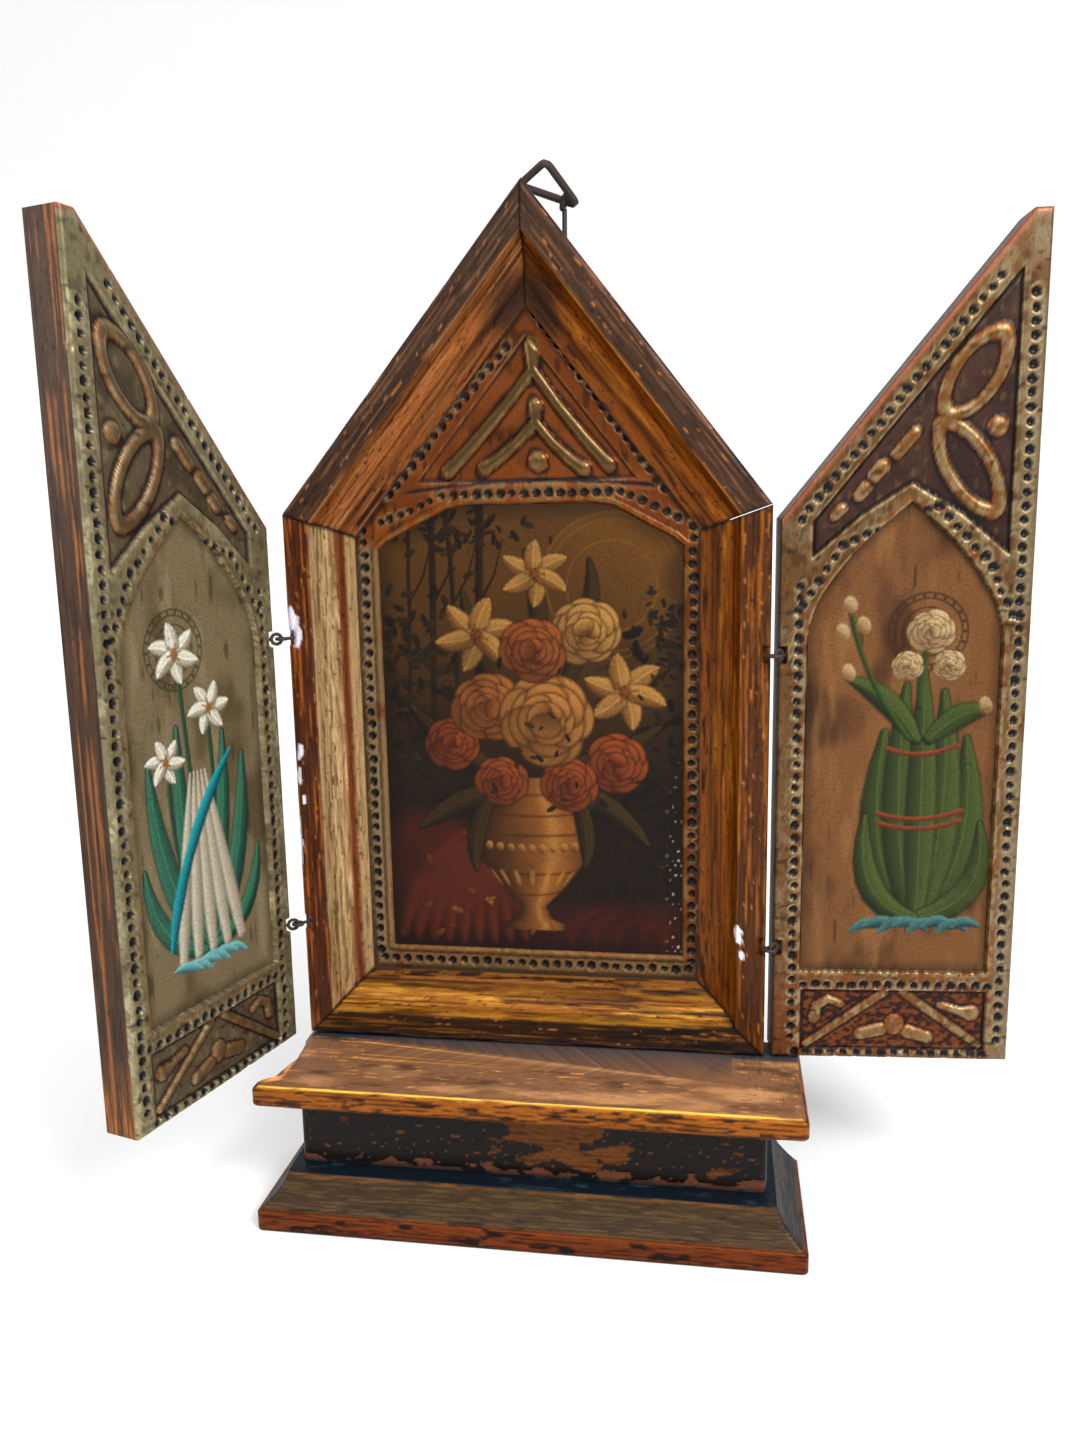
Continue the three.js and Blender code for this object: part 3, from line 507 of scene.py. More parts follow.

# ---- shelf -------------------------------------------------------------------------------
# The board that carries the panel. Hands have rubbed its top brown and its front arris to
# yellow, with a painted highlight along that arris; a long splinter has gone from its left end
# and left bare pinkish wood.

shelf_low, shelf_high = (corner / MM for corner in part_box("shelf"))
SHELF_INSET = 0.6
SHELF_ARRIS = 1.3
SPLINTER = ((30, 4.4), (14, 4.2), (4, 6), (-3, 6.7), (-10, 5.2), (-16.5, 2.6), (-20, 0), (-30, 0))
FACET_IN, FACET_DOWN, FACET_SLOPE, FACET_END = 5.6, 3.7, 1.28, -17.6


def splintered(x, y, z, x_far):
    """Draws the left end in along the splinter, further at the top than below."""
    back_to_front = [place for place, _ in SPLINTER][::-1]
    bite = np.interp(y, back_to_front, [deep for _, deep in SPLINTER][::-1])
    facet = (FACET_IN - (shelf_high.z - z) * FACET_SLOPE) * ease(FACET_END - 2, FACET_END + 3, y)
    if shelf_high.z - z > FACET_DOWN:
        facet = facet * 0
    rough = 0.5 * (mottle(np.column_stack([y, np.full(len(y), z)]), (2.4, 0.9), 51) - 0.5)
    bite = np.maximum(bite, facet)
    bite = bite + rough * ease(0.5, 2, bite)
    return x + bite.clip(0) * (x_far - x) / (2 * x_far)


shelf_levels = [[shelf_low.z, 7, 7]]
shelf_levels += eased_arris(shelf_low.z, SHELF_INSET, SHELF_INSET, SHELF_ARRIS, -1)
shelf_levels += eased_arris(shelf_high.z, SHELF_INSET, SHELF_INSET, SHELF_ARRIS, 1)
shelf_levels += [[shelf_high.z, 22, 22]]
shelf_levels = dense_levels(shelf_levels)
points, faces, around, kind = moulded_block(shelf_levels, splintered)
x, y, z = points.T
up = np.repeat(run_up(shelf_levels), len(points) // len(shelf_levels))
flow = np.column_stack([around, up])
plan = points[:, :2]
on_top = ease(shelf_high.z - 0.15, shelf_high.z - 0.02, z)
height = (z - shelf_low.z) / (shelf_high.z - shelf_low.z)
wave = layered(flow, (16, 5), 53)
points[:, 2] -= 0.22 * (wave - 0.35).clip(0) * on_top
points[:, 1] += (kind == 1) * 0.3 * (wave - 0.4).clip(0) * (1 - on_top)

streak = layered(flow, (8, 0.7), 55)
cloud = layered(plan, (22, 9), 57)
paint = np.tile(tone("9c5a16"), (len(points), 1))
paint = lay(paint, "4d280c", ease(0.48, 0.62, streak))
paint = lay(paint, "20120a", ease(0.6, 0.74, layered(flow, (5, 2), 59)) * 0.9)
paint = lay(paint, "54392a", on_top)
paint = lay(paint, "7b583f", on_top * ease(0.45, 0.75, cloud))
paint = lay(paint, "2e1d15", on_top * ease(0.52, 0.8, layered(plan, (13, 6), 61)) * 0.8)
paint = lay(paint, "8d5e30", on_top * ease(0.66, 0.8, layered(plan, (5, 1.2), 63)))
# The front arris is painted pale yellow: rubbed gilding, and a painted highlight where the arris
# catches the light.
rubbed_and_highlight = np.exp(-((up - up[np.argmax(height > 0.985)]) / 0.75) ** 2) * (kind == 1)
rubbed_and_highlight *= ease(0.25, 0.55, layered(flow, (9, 3), 65))
paint = lay(paint, "e8b04a", rubbed_and_highlight)
paint = lay(paint, "16202c", on_top * ease(11.0, 13.0, y) * 0.9)
on_end = kind == 0
bare = on_end * ease(0.8, 2.2, x - x[on_end].min()) * ease(-21, -18, y) * ease(0.2, 0.5, height)
bare = np.maximum(bare, on_end * ease(0.45, 0.6, height) * ease(-19, -17, y))
bare *= ease(8.5, 6.5, x - plinth_low.x) * ease(2, -6, y)
paint = lay(paint, "bb7d50", bare)
paint = lay(paint, "8a4c26", bare * ease(0.5, 0.7, layered(flow, (10, 0.5), 67)))
paint = lay(paint, "2e1c10", (kind == 3) * (1 - on_top))
paint *= lay(np.tile((0.78, 0.72, 0.62), (len(points), 1)), (2.5, 2.5, 2.1), on_top)
leaf_share = (1 - on_top) * (1 - bare) * (kind < 3)
finish = np.column_stack([0.12 + 0.33 * leaf_share + 0.3 * rubbed_and_highlight,
                          0.4 + 0.14 * on_top + 0.2 * bare,
                          0.7 + 0.6 * bare])
shelf = finished_piece("shelf_board", points, faces, paint, finish, flow, base_finish)
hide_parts("shelf")
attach(shelf, "altarpiece")

# ---- frame -------------------------------------------------------------------------------
# Five mitred lengths of one moulding: a flat brown band outside, a gilded cove, and a fillet
# round the board. The gilding is toned with brown and rubbed along its grain.

panel_left, panel_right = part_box("frame_left")[0].x / MM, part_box("frame_right")[1].x / MM
panel_front, panel_back = (corner.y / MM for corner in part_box("frame_bottom"))
PANEL_X = (panel_left + panel_right) / 2
PANEL_HALF_WIDTH = (panel_right - panel_left) / 2
PANEL_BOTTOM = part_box("frame_bottom")[0].z / MM
PANEL_DEPTH = panel_back - panel_front
SHOULDER_Z = 219.6
APEX = (2.3, 313)
BAND, FRAME_ARRIS, HOLLOW, HOLLOW_DEPTH, FILLET = 9, 1.8, 9, 7.6, 8
FRAME_INSET, REBATE_INSET, REBATE_DEPTH = 21, 12, 9.2
MITRE_CUT = 0.12
HINGE_GAP, HINGE_LEAD, EYE_NOTCH, EYE_HALF = 1.25, 1.6, 4.3, 2.45
HINGE_HEIGHTS = {"left": (181, 87), "right": (175.5, 84.5)}
FRAME_NAMES = ("frame_bottom", "frame_right", "frame_gable_right", "frame_gable_left",
               "frame_left")
PANEL_OUTLINE = ((-PANEL_HALF_WIDTH, PANEL_BOTTOM), (PANEL_HALF_WIDTH, PANEL_BOTTOM),
                 (PANEL_HALF_WIDTH, SHOULDER_Z), APEX, (-PANEL_HALF_WIDTH, SHOULDER_Z))


def inset_corners(outline, distance):
    """The corners of a counter-clockwise outline drawn in by a distance, or by many at once."""
    ends = np.array(outline, dtype=float)
    along = np.roll(ends, -1, axis=0) - ends
    along /= np.linalg.norm(along, axis=1)[:, None]
    inward = np.column_stack([-along[:, 1], along[:, 0]])
    distance = np.atleast_1d(distance)
    corners = []
    for i in range(len(ends)):
        before = i - 1
        cross = along[before, 0] * along[i, 1] - along[before, 1] * along[i, 0]
        gap = inward[i] - inward[before]
        reach = (gap[0] * along[i, 1] - gap[1] * along[i, 0]) / cross
        corners.append(ends[i] + (inward[before] + along[before] * reach) * distance[:, None])
    return corners


def moulding_section():
    """Points round the section, inset from the outer edge and depth behind the face."""
    arc = [(FRAME_ARRIS * (1 - math.cos(a)), FRAME_ARRIS * (1 - math.sin(a)))
           for a in np.linspace(0, math.pi / 2, 6)]
    cove = [(BAND + HOLLOW * (1 - math.cos(a)), HOLLOW_DEPTH * math.sin(a))
            for a in np.linspace(0, math.pi / 2, 22)]
    corners = [(0, PANEL_DEPTH), *arc, *cove, (BAND + HOLLOW + 0.4, FILLET),
               (FRAME_INSET - 0.5, FILLET), (FRAME_INSET, FILLET + 0.4), (FRAME_INSET,
                                                                          REBATE_DEPTH),
               (REBATE_INSET, REBATE_DEPTH), (REBATE_INSET, PANEL_DEPTH)]
    section = [corners[0]]
    hidden = len(corners) - 3
    for i, (before, after) in enumerate(zip(corners, corners[1:])):
        step = GRAIN_STEP if i < hidden else 4
        count = max(1, round(math.dist(before, after) / step))
        for k in range(1, count + 1):
            section.append(tuple(a + (b - a) * k / count for a, b in zip(before, after)))
    return np.array(section)


frame_section = moulding_section()
section_run = np.concatenate([[0], np.cumsum(np.hypot(*np.diff(frame_section, axis=0).T))])


def frame_length(name, edge):
    """One length of moulding between two mitres: points, faces, and the places of the points."""
    inset, depth = frame_section.T
    corners = inset_corners(PANEL_OUTLINE, inset)
    start, end = corners[edge], corners[(edge + 1) % 5]
    outer = math.dist(PANEL_OUTLINE[edge], PANEL_OUTLINE[(edge + 1) % 5])
    shares = even_steps(0, 1, GRAIN_STEP * 1.1 / outer)[:, None]
    lengths = np.hypot(*(end - start).T)
    shares = MITRE_CUT / lengths + (1 - 2 * MITRE_CUT / lengths) * shares
    x = start[:, 0] + (end[:, 0] - start[:, 0]) * shares
    z = start[:, 1] + (end[:, 1] - start[:, 1]) * shares
    along = shares * lengths + (outer - lengths) / 2
    rows, columns = x.shape
    across = np.tile(inset, (rows, 1))
    deep = np.tile(depth, (rows, 1))
    run = np.tile(section_run, (rows, 1))
    faces = grid_faces(rows, columns, closed=True)
    faces.append(list(range(columns))[::-1])
    faces.append([(rows - 1) * columns + i for i in range(columns)])
    return [a.ravel() for a in (x, z, deep, across, along, run)], faces, outer


def hinge_notch(away, z, deep, heights):
    """Deepens the face beside each hinge, in a round notch about the hinge's axis."""
    reach = np.sqrt((EYE_NOTCH ** 2 - away ** 2).clip(0)) - HINGE_LEAD
    near = np.zeros(len(z), dtype=bool)
    for height in heights:
        near |= np.abs(z - height) < EYE_HALF
    return np.where(near & (reach > deep), reach, deep)


GESSO_CHIPS = {  # along from the lower end, across the band, half sizes: gesso laid bare
    "frame_left": ((139, 1.5, 4.4, 2.0), (133, 3.2, 5.2, 1.8), (96, 2.2, 2.6, 1.2), (88, 1.4, 3.4,
                                                                                     1.0),
                   (80, 2.6, 1.6, 0.8), (66, 0.6, 9.0, 0.6)),
    "frame_right": ((37, 8.6, 3.0, 1.3), (31, 7.4, 2.2, 0.9)),
}
FRAME_DEPTHS = {  # how much each length is darkened in red, green and blue: partly toning, partly painted light and shade, the left lengths' coves facing the light
    "frame_bottom": (0.7, 0.72, 0.8), "frame_right": (0.52, 0.42, 0.26),
    "frame_gable_right": (0.55, 0.45, 0.4), "frame_gable_left": (0.7, 0.62, 0.6),
    "frame_left": (0.85, 0.6, 0.5),
}
FRAME_TONES = {  # band, its streaks, cove, its light and its dark
    "frame_bottom": ("3b2412", "9a5a18", "a8641c", "d9962e", "4a260c"),
    "frame_right": ("5a3312", "b8701c", "9c5a12", "c98424", "4a2a0e"),
    "frame_gable_right": ("4a3424", "7d5a38", "a8600f", "cf8a26", "5a300c"),
    "frame_gable_left": ("3f2c1e", "75553a", "a2622a", "c98a4c", "4e2a12"),
    "frame_left": ("4a2a10", "a5621c", "9a8256", "d6cfa4", "5a3414"),
}
frame_finish = gilder_finish("frame_gilding", 2300, 16, 0.5, 0.11)
for edge, name in enumerate(FRAME_NAMES):
    (x, z, deep, across, along, run), faces, outer = frame_length(name, edge)
    band, band_streak, cove, light, dark = (tone(code) for code in FRAME_TONES[name])
    flow = np.column_stack([along, run])
    seed = 100 + 20 * edge
    front = ease(0.01, 0.05, run - section_run[1]) * (across < FRAME_INSET - 0.1)
    side_face = (across < 0.02) & (deep > FRAME_ARRIS)
    gouged = layered(flow, (26, 4), seed)
    grooves = layered(flow, (22, 0.9), seed + 3)
    in_cove = ease(BAND - 0.4, BAND + 0.6, across) * (1 - ease(17.4, 18.2, across))
    on_fillet = ease(17.4, 18.4, across)
    on_band = 1 - ease(BAND - 0.4, BAND + 0.3, across)
    moved = 0.32 * (gouged - 0.3).clip(0) + 0.22 * in_cove * ease(0.5, 0.75, grooves)
    chips = np.zeros(len(x))
    for place, inward, half_along, half_across in GESSO_CHIPS.get(name, ()):
        place = outer - place if name == "frame_left" else place
        away = np.hypot((along - place) / half_along, (across - inward) / half_across)
        away += 0.7 * (mottle(flow, 1.5, seed + 5) - 0.5)
        chips = np.maximum(chips, ease(1.0, 0.85, away) * (deep < FRAME_ARRIS + 1))
    visible = (deep < REBATE_DEPTH) & (across < FRAME_INSET)
    edge_wear = np.exp(-((across - 0.5) / 0.7) ** 2) * (deep < FRAME_ARRIS)
    moved = (moved + 0.25 * chips + 0.3 * edge_wear * ease(0.6, 0.8, layered(flow, (5, 1.5),
                                                                             seed + 7)))
    deep = deep + moved * visible * (1 - side_face)
    if name in ("frame_left", "frame_right"):
        heights = HINGE_HEIGHTS[name.split("_")[1]]
        notched = hinge_notch(across + HINGE_GAP, z, deep, heights)
        notched = np.where(side_face & (notched > deep), notched + 0.02 * (deep - FRAME_ARRIS),
                           notched)
        deep = np.where(deep < FRAME_ARRIS + 2, notched, deep)

    streak = layered(flow, (24, 0.8), seed + 9, 4)
    fine = layered(flow, (11, 0.45), seed + 11)
    cloud = layered(flow, (18, 5), seed + 13)
    paint = np.tile(band, (len(x), 1))
    paint = lay(paint, band_streak, on_band * ease(0.5, 0.72, streak) * 0.9)
    paint = lay(paint, band * 0.35, on_band * ease(0.56, 0.72, fine) * 0.8)
    paint = lay(paint, cove, in_cove)
    paint = lay(paint, light, in_cove * ease(0.42, 0.66, cloud) * ease(0.4, 0.6, fine))
    paint = lay(paint, dark, in_cove * ease(0.5, 0.66, streak) * 0.85)
    # Painted shade: the cove darkens towards its foot beside the fillet.
    paint = lay(paint, dark * 0.7, in_cove * ease(13.5, 17.5, across) * 0.5)
    paint = lay(paint, cove * 0.8, on_fillet)
    paint = lay(paint, dark * 0.6, on_fillet * ease(0.5, 0.65, layered(flow, (9, 1.5), seed + 15)))
    # A painted highlight along the cove's outer edge, where the band turns into the cove.
    paint = lay(paint, light, np.exp(-((across - BAND) / 0.45) ** 2) * ease(0.35, 0.6,
                                                                            cloud) * 0.8)
    # The left length's cove faces the light from the right: the pale silvery zone near the cove's outer
    # edge is a painted highlight.
    if name == "frame_left":
        cove_highlight = in_cove * ease(14.6, 12.4, across) * ease(0.15, 0.4, cloud + 0.25)
        paint = lay(paint, "c4bf92", cove_highlight * 0.8)
        paint = lay(paint, "6d5c38", cove_highlight * ease(0.5, 0.6, fine) * 0.8)
        paint = lay(paint, "6b3510", ease(14.8, 15.6, across) * ease(17.2, 16.6, across))
        paint = lay(paint, "b5ad80", on_fillet * 0.7)
    if name == "frame_bottom":
        bruised = ease(outer * 0.35, outer * 0.9, along) * ease(0.45, 0.62, layered(flow, (15, 3),
                                                                                    77))
        paint = lay(paint, "141216", bruised * (1 - on_fillet) * 0.8)
        paint = lay(paint, "0e1826", ease(2.6, 1.0, across))
    # The outer arris is painted lighter: rubbed gilding, and a painted highlight where the arris
    # catches the light.
    rubbed_and_highlight = edge_wear * ease(0.45, 0.65, layered(flow, (12, 2), seed + 17))
    paint = lay(paint, tone("9a6440" if "gable" in name else "a8702c"), rubbed_and_highlight * 0.8)
    paint = lay(paint, "3a2212", side_face * 1.0)
    paint = lay(paint, "6a4220", side_face * ease(0.5, 0.7, streak) * 0.8)
    paint *= FRAME_DEPTHS[name]
    start_cut, end_cut = along.reshape(-1, len(section_run))[[0, -1]]
    columns = np.tile(np.arange(len(section_run)), len(x) // len(section_run))
    mitre = np.minimum(along - start_cut[columns], end_cut[columns] - along)
    pitted = ease(0.7, 0.78, layered(flow, (2.2, 1.2), seed + 19)) * visible
    paint = lay(paint, "160d0a", pitted * 0.75)
    worn_through = ease(0.72, 0.8, layered(flow, (3.2, 1.0), seed + 23)) * on_band * visible
    paint = lay(paint, "a8642a", worn_through * 0.7)
    paint = lay(paint, "120b08", ease(1.1, 0.1, mitre + 0.8 * (fine - 0.5)) * visible * 0.8)
    if "gable" in name:
        from_apex = along if name == "frame_gable_left" else outer - along
        blot = ease(15, 4, np.hypot(from_apex - 21, (across - 17) * 1.6) + 8 * (cloud - 0.5))
        paint = lay(paint, "1a0f0c", blot * 0.8 * visible)
    paint = lay(paint, "d9d2dc", chips)
    paint = lay(paint, "38230f", (~visible & ~side_face) * 1.0)
    gilt = (in_cove + on_fillet * 0.7 + 0.35 * on_band) * (1 - chips) * visible
    finish = np.column_stack([0.55 * gilt, 0.36 + 0.12 * on_band + 0.3 * chips,
                              0.9 + 0.2 * in_cove])
    points = np.column_stack([PANEL_X + x, panel_front + deep, z])
    length = finished_piece(name + "_gilt", points, faces, paint, finish, flow, frame_finish)
    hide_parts(name)
    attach(length, "altarpiece")

# ---- centre board ------------------------------------------------------------------------
# The board inside the frame, with ornament cast in gesso: a punched border, a raised lip
# round the picture, and two chevrons and a boss in the field above it.

SURROUND, BOARD_FRONT, CHEVRON_FRONT = 8.9, 9.8, 8.3
ARCH_LEFT, ARCH_RIGHT, ARCH_BOTTOM = -47, 49, 77
ARCH_TOP = ((-47, 208), (-44, 210.6), (-38, 213.6), (-24, 220.6), (-17, 221.5), (20.5, 221.5),
            (27.5, 220.6), (40, 213.6), (46, 210.6), (49, 208))
LIP_WIDTH, LIP_RISE = 2.0, 0.45
PUNCH_RADIUS, PUNCH_DEPTH, PUNCH_PITCH = 1.35, 1.0, 3.85
TYMPANUM_FOOT, TYMPANUM_INSET = 228, 26.4
CHEVRON_SAG = 1.4
CHEVRONS = (  # bulb, fork, ends, half-widths of bulb, waist and ends
    ((3.4, 268), (3.5, 261), ((-23.6, 231.6), (26.2, 232.6)), (2.7, 1.75, 2.5)),
    ((4.1, 250.6), (4.1, 245.6), ((-12, 232.4), (18.4, 231.6)), (2.3, 1.7, 2.6)),
)
BOARD_BOSS = (4.5, 234, 3.3)
PUNCH_ROWS = (  # start and end of each row of punched holes
    ((-51.6, 75), (-51.6, 214)), ((51.9, 75), (51.9, 214)), ((-50.5, 72.4), (51, 72.4)),
    ((-42.6, 225), (-4.5, 268)), ((43.2, 224.7), (4.8, 277)), ((-22, 224.6), (30, 224.4)),
    ((-46, 216.5), (-26, 224)), ((47, 216.5), (33, 223.4)),
)


def gap_to_path(x, z, path, widths=None):
    """Distance to a path of straight stretches, and the half-width at the nearest place."""
    widths = widths or [1] * len(path)
    best, width = np.full(len(x), 1e9), np.ones(len(x))
    for (ax, az), (bx, bz), wide_a, wide_b in zip(path, path[1:], widths, widths[1:]):
        length = max((bx - ax) ** 2 + (bz - az) ** 2, 1e-9)
        share = (((x - ax) * (bx - ax) + (z - az) * (bz - az)) / length).clip(0, 1)
        gap = np.hypot(x - ax - (bx - ax) * share, z - az - (bz - az) * share)
        wide = wide_a + (wide_b - wide_a) * share
        nearer = gap / wide < best / width
        best, width = np.where(nearer, gap, best), np.where(nearer, wide, width)
    return best, width


def ridge(x, z, path, widths):
    """A rounded ridge along a path, 1 high in its middle and 0 outside."""
    gap, width = gap_to_path(x, z, path, widths)
    return np.sqrt((1 - (gap / width) ** 2).clip(0))


def gap_to_outline(x, z, outline):
    """Distance to a closed outline, negative inside it."""
    gap, _ = gap_to_path(x, z, [*outline, outline[0]])
    inside = np.zeros(len(x), dtype=bool)
    for (ax, az), (bx, bz) in zip(outline, [*outline[1:], outline[0]]):
        if az != bz:
            crosses = (az > z) != (bz > z)
            inside ^= crosses & (x < ax + (z - az) * (bx - ax) / (bz - az))
    return np.where(inside, -gap, gap)


def punched(x, z, rows, seed):
    """Holes punched along rows: how deep, from 0 to 1, and how near each hole's rim."""
    draw = np.random.default_rng(seed)
    depth, rim = np.zeros(len(x)), np.zeros(len(x))
    for start, end in rows:
        count = max(2, round(math.dist(start, end) / PUNCH_PITCH) + 1)
        for share in np.linspace(0, 1, count):
            at_x, at_z = (a + (b - a) * share for a, b in zip(start, end))
            at_x, at_z = np.array((at_x, at_z)) + draw.normal(0, 0.16, 2)
            radius = PUNCH_RADIUS * draw.uniform(0.82, 1.12)
            near = np.flatnonzero((np.abs(x - at_x) < 3) & (np.abs(z - at_z) < 3))
            gap = np.hypot(x[near] - at_x, (z[near] - at_z) * draw.uniform(0.85, 1.1)) / radius
            depth[near] = np.maximum(depth[near], np.sqrt((1 - gap ** 2).clip(0)))
            rim[near] = np.maximum(rim[near], np.exp(-((gap - 1.25) / 0.3) ** 2))
    return depth, rim


def hollows(depth, rows, columns, times=5):
    """How far each point of a relief lies behind its surroundings, in millimetres."""
    grid = depth.reshape(rows, columns)
    soft = grid
    for _ in range(times):
        padded = np.pad(soft, 1, mode="edge")
        soft = (padded[:-2, 1:-1] + padded[2:, 1:-1] + padded[1:-1, :-2] + padded[1:-1, 2:]
                + padded[1:-1, 1:-1]) / 5
    return (grid - soft).ravel()


def relief_shell(columns, shares, foot, top, thickness, wall_rows):
    """The face points of an upright board between its foot and its top at each column.

    Returns the places of the face points and a function that adds the sides and back."""
    s = np.tile(columns, len(shares))
    heights = foot + (top(columns) - foot) * np.asarray(shares)[:, None]
    z = heights.ravel()
    rows, count = len(shares), len(columns)
    index = np.arange(rows * count).reshape(rows, count)
    rim = np.concatenate([index[0, :-1], index[:-1, -1], index[-1, :0:-1], index[:0:-1, 0]])

    def close(s, z, depth):
        """The whole shell's points, its faces, and for each point the face point it follows."""
        middle_s, middle_z = s.mean(), z.mean()
        parts, faces = [np.column_stack([s, depth, z])], grid_faces(rows, count)
        before = rim
        total = rows * count
        for k in range(1, wall_rows + 2):
            share = min(k / wall_rows, 1)
            deep = depth[rim] + (thickness - depth[rim]) * share
            shrink = 0.3 if k > wall_rows else 0
            pull_s, pull_z = np.sign(middle_s - s[rim]), np.sign(middle_z - z[rim])
            parts.append(np.column_stack([s[rim] + shrink * pull_s, deep,
                                          z[rim] + shrink * pull_z]))
            now = np.arange(total, total + len(rim))
            faces += np.stack([before, np.roll(before, -1), np.roll(now, -1), now],
                              axis=1).tolist()
            before, total = now, total + len(rim)
        faces.append(before.tolist())
        source = np.concatenate([np.arange(rows * count), np.tile(rim, wall_rows + 1)])
        return np.vstack(parts), faces, source

    return s, z, close


arch_x, arch_z = np.array(ARCH_TOP).T
board_left, board_right = (corner.x / MM - PANEL_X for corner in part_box("centre_board"))
board_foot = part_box("centre_board")[0].z / MM
board_corners = [corner[0] for corner in inset_corners(PANEL_OUTLINE, REBATE_INSET + 0.3)]


def board_top(x):
    """The height of the board's two slopes over a place across it."""
    _, _, right, apex, left = board_corners
    return np.interp(x, (left[0], apex[0], right[0]), (left[1], apex[1], right[1]))


board_columns = np.concatenate([
    [board_left], even_steps(board_left + 8, APEX[0], GRAIN_STEP),
    even_steps(APEX[0], board_right - 8, GRAIN_STEP)[1:], [board_right],
])
board_shares = np.concatenate([[0], even_steps(0.03, 0.97, 0.0023), [1]])
x, z, close = relief_shell(board_columns, board_shares, board_foot, board_top, PANEL_DEPTH, 3)
plan = np.column_stack([x, z])
opening = [(ARCH_LEFT, ARCH_BOTTOM), (ARCH_RIGHT, ARCH_BOTTOM), *ARCH_TOP[::-1]]
to_opening = gap_to_outline(x, z, opening)
to_opening += 0.35 * (mottle(plan, 9, 201) - 0.5)
to_slope = gap_to_outline(x, z, PANEL_OUTLINE)
field = np.maximum(to_slope + TYMPANUM_INSET, TYMPANUM_FOOT - z + 0.00024 * (x - 4) ** 2)
field_in = ease(0.3, -0.5, field)
lip = np.sqrt((1 - ((to_opening - LIP_WIDTH / 2) / (LIP_WIDTH / 2)) ** 2).clip(0))
sunk, rim_near = punched(x, z, PUNCH_ROWS, 7)
ridges = np.zeros(len(x))
for bulb, fork, ends, (bulb_wide, waist, end_wide) in CHEVRONS:
    ridges = np.maximum(ridges, ridge(x, z, [bulb, fork], [bulb_wide, waist]))
    for end in ends:
        way = [(fork[0] + (end[0] - fork[0]) * t,
                fork[1] + (end[1] - fork[1]) * t - CHEVRON_SAG * math.sin(math.pi * t))
               for t in (0, 0.35, 0.7, 0.9, 1)]
        widths = [waist, waist, waist * 1.15, (waist + end_wide) / 2, end_wide]
        ridges = np.maximum(ridges, ridge(x, z, way, widths))
boss_gap = np.hypot(x - BOARD_BOSS[0], z - BOARD_BOSS[1]) / BOARD_BOSS[2]
ridges = np.maximum(ridges, np.sqrt((1 - boss_gap ** 2).clip(0)))
recess = ease(0.15, -0.25, to_opening)
wobble = layered(plan, (14, 14), 203)
depth = SURROUND + (BOARD_FRONT - SURROUND) * np.maximum(field_in, 0)
depth -= LIP_RISE * lip * ease(0.1, 0.6, to_opening)
depth -= ridges * (BOARD_FRONT - CHEVRON_FRONT) * field_in
depth += (PUNCH_DEPTH * sunk - 0.12 * rim_near) * (1 - recess) * (1 - field_in * 0.5)
groove = np.exp(-((z - 228.2 + 0.0016 * (x - 4) ** 2) / 0.8) ** 2) * ease(44, 36, np.abs(x - 3))
depth += 0.5 * groove * (1 - ridges)
depth += 0.2 * (wobble - 0.5) * (1 - recess)
depth = depth * (1 - recess) + BOARD_FRONT * recess
cavity = hollows(depth, len(board_shares), len(board_columns))
flat_area = to_opening < -1.2

streak = layered(plan, (2.2, 9), 205)
cloud = layered(plan, (9, 12), 207)
paint = np.tile(tone("8a4f16"), (len(x), 1))
paint = lay(paint, "a8621e", ease(0.4, 0.7, cloud))
paint = lay(paint, "4e2a10", ease(0.55, 0.72, streak) * 0.8)
left_strip = ease(ARCH_LEFT + 1, ARCH_LEFT - 1, x) * ease(212, 206, z)
right_strip = ease(ARCH_RIGHT - 1, ARCH_RIGHT + 1, x) * ease(212, 206, z)
foot_strip = ease(ARCH_BOTTOM + 1, ARCH_BOTTOM - 1, z)
paint = lay(paint, "a8a07c", left_strip * ease(0.3, 0.55, cloud + 0.15) * 0.85)
paint = lay(paint, "8b7a52", foot_strip * ease(0.3, 0.55, cloud + 0.1) * 0.85)
paint = lay(paint, "6d4a22", right_strip * 0.6)
paint = lay(paint, "9a5a22", field_in * (1 - ridges) * ease(0.35, 0.6, cloud))
paint = lay(paint, "b5661a", np.exp(-((to_opening - 0.5) / 0.5) ** 2) * ease(206, 212, z))
paint = lay(paint, "7b6c46", ease(0.3, 0.8, ridges))
paint = lay(paint, "b56a1c", ease(0.05, 0.3, ridges) * ease(0.75, 0.4, ridges) * 0.8)
# Painted shade in the hollows of the relief, beside the ridges and lips.
paint = lay(paint, "17141c", ease(0.03, 0.2, cavity) * (1 - recess) * 0.9)
outline = ease(0.0, 0.6, layered(plan, (6, 6), 209) - 0.05)
beside, _ = gap_to_path(x, z, [CHEVRONS[0][2][0], CHEVRONS[0][1], CHEVRONS[0][2][1]])
beside_inner, _ = gap_to_path(x, z, [CHEVRONS[1][2][0], CHEVRONS[1][1], CHEVRONS[1][2][1]])
# A dark band painted along both sides of each chevron, just outside its foot.
dark_beside_chevrons = np.maximum(ease(3.2, 1.6, beside), ease(3.0, 1.6, beside_inner)) * (ridges < 0.15)
paint = lay(paint, "1a161f", dark_beside_chevrons * outline * 0.85)
paint = lay(paint, "141a2c", groove * 0.85)
paint = lay(paint, "14161f", ease(0.15, 0.5, sunk) * (1 - recess))
paint = lay(paint, "1d1410", np.exp(-((to_slope + FRAME_INSET + 0.6) / 0.9) ** 2) * 0.8)
paint *= (0.46, 0.36, 0.3)
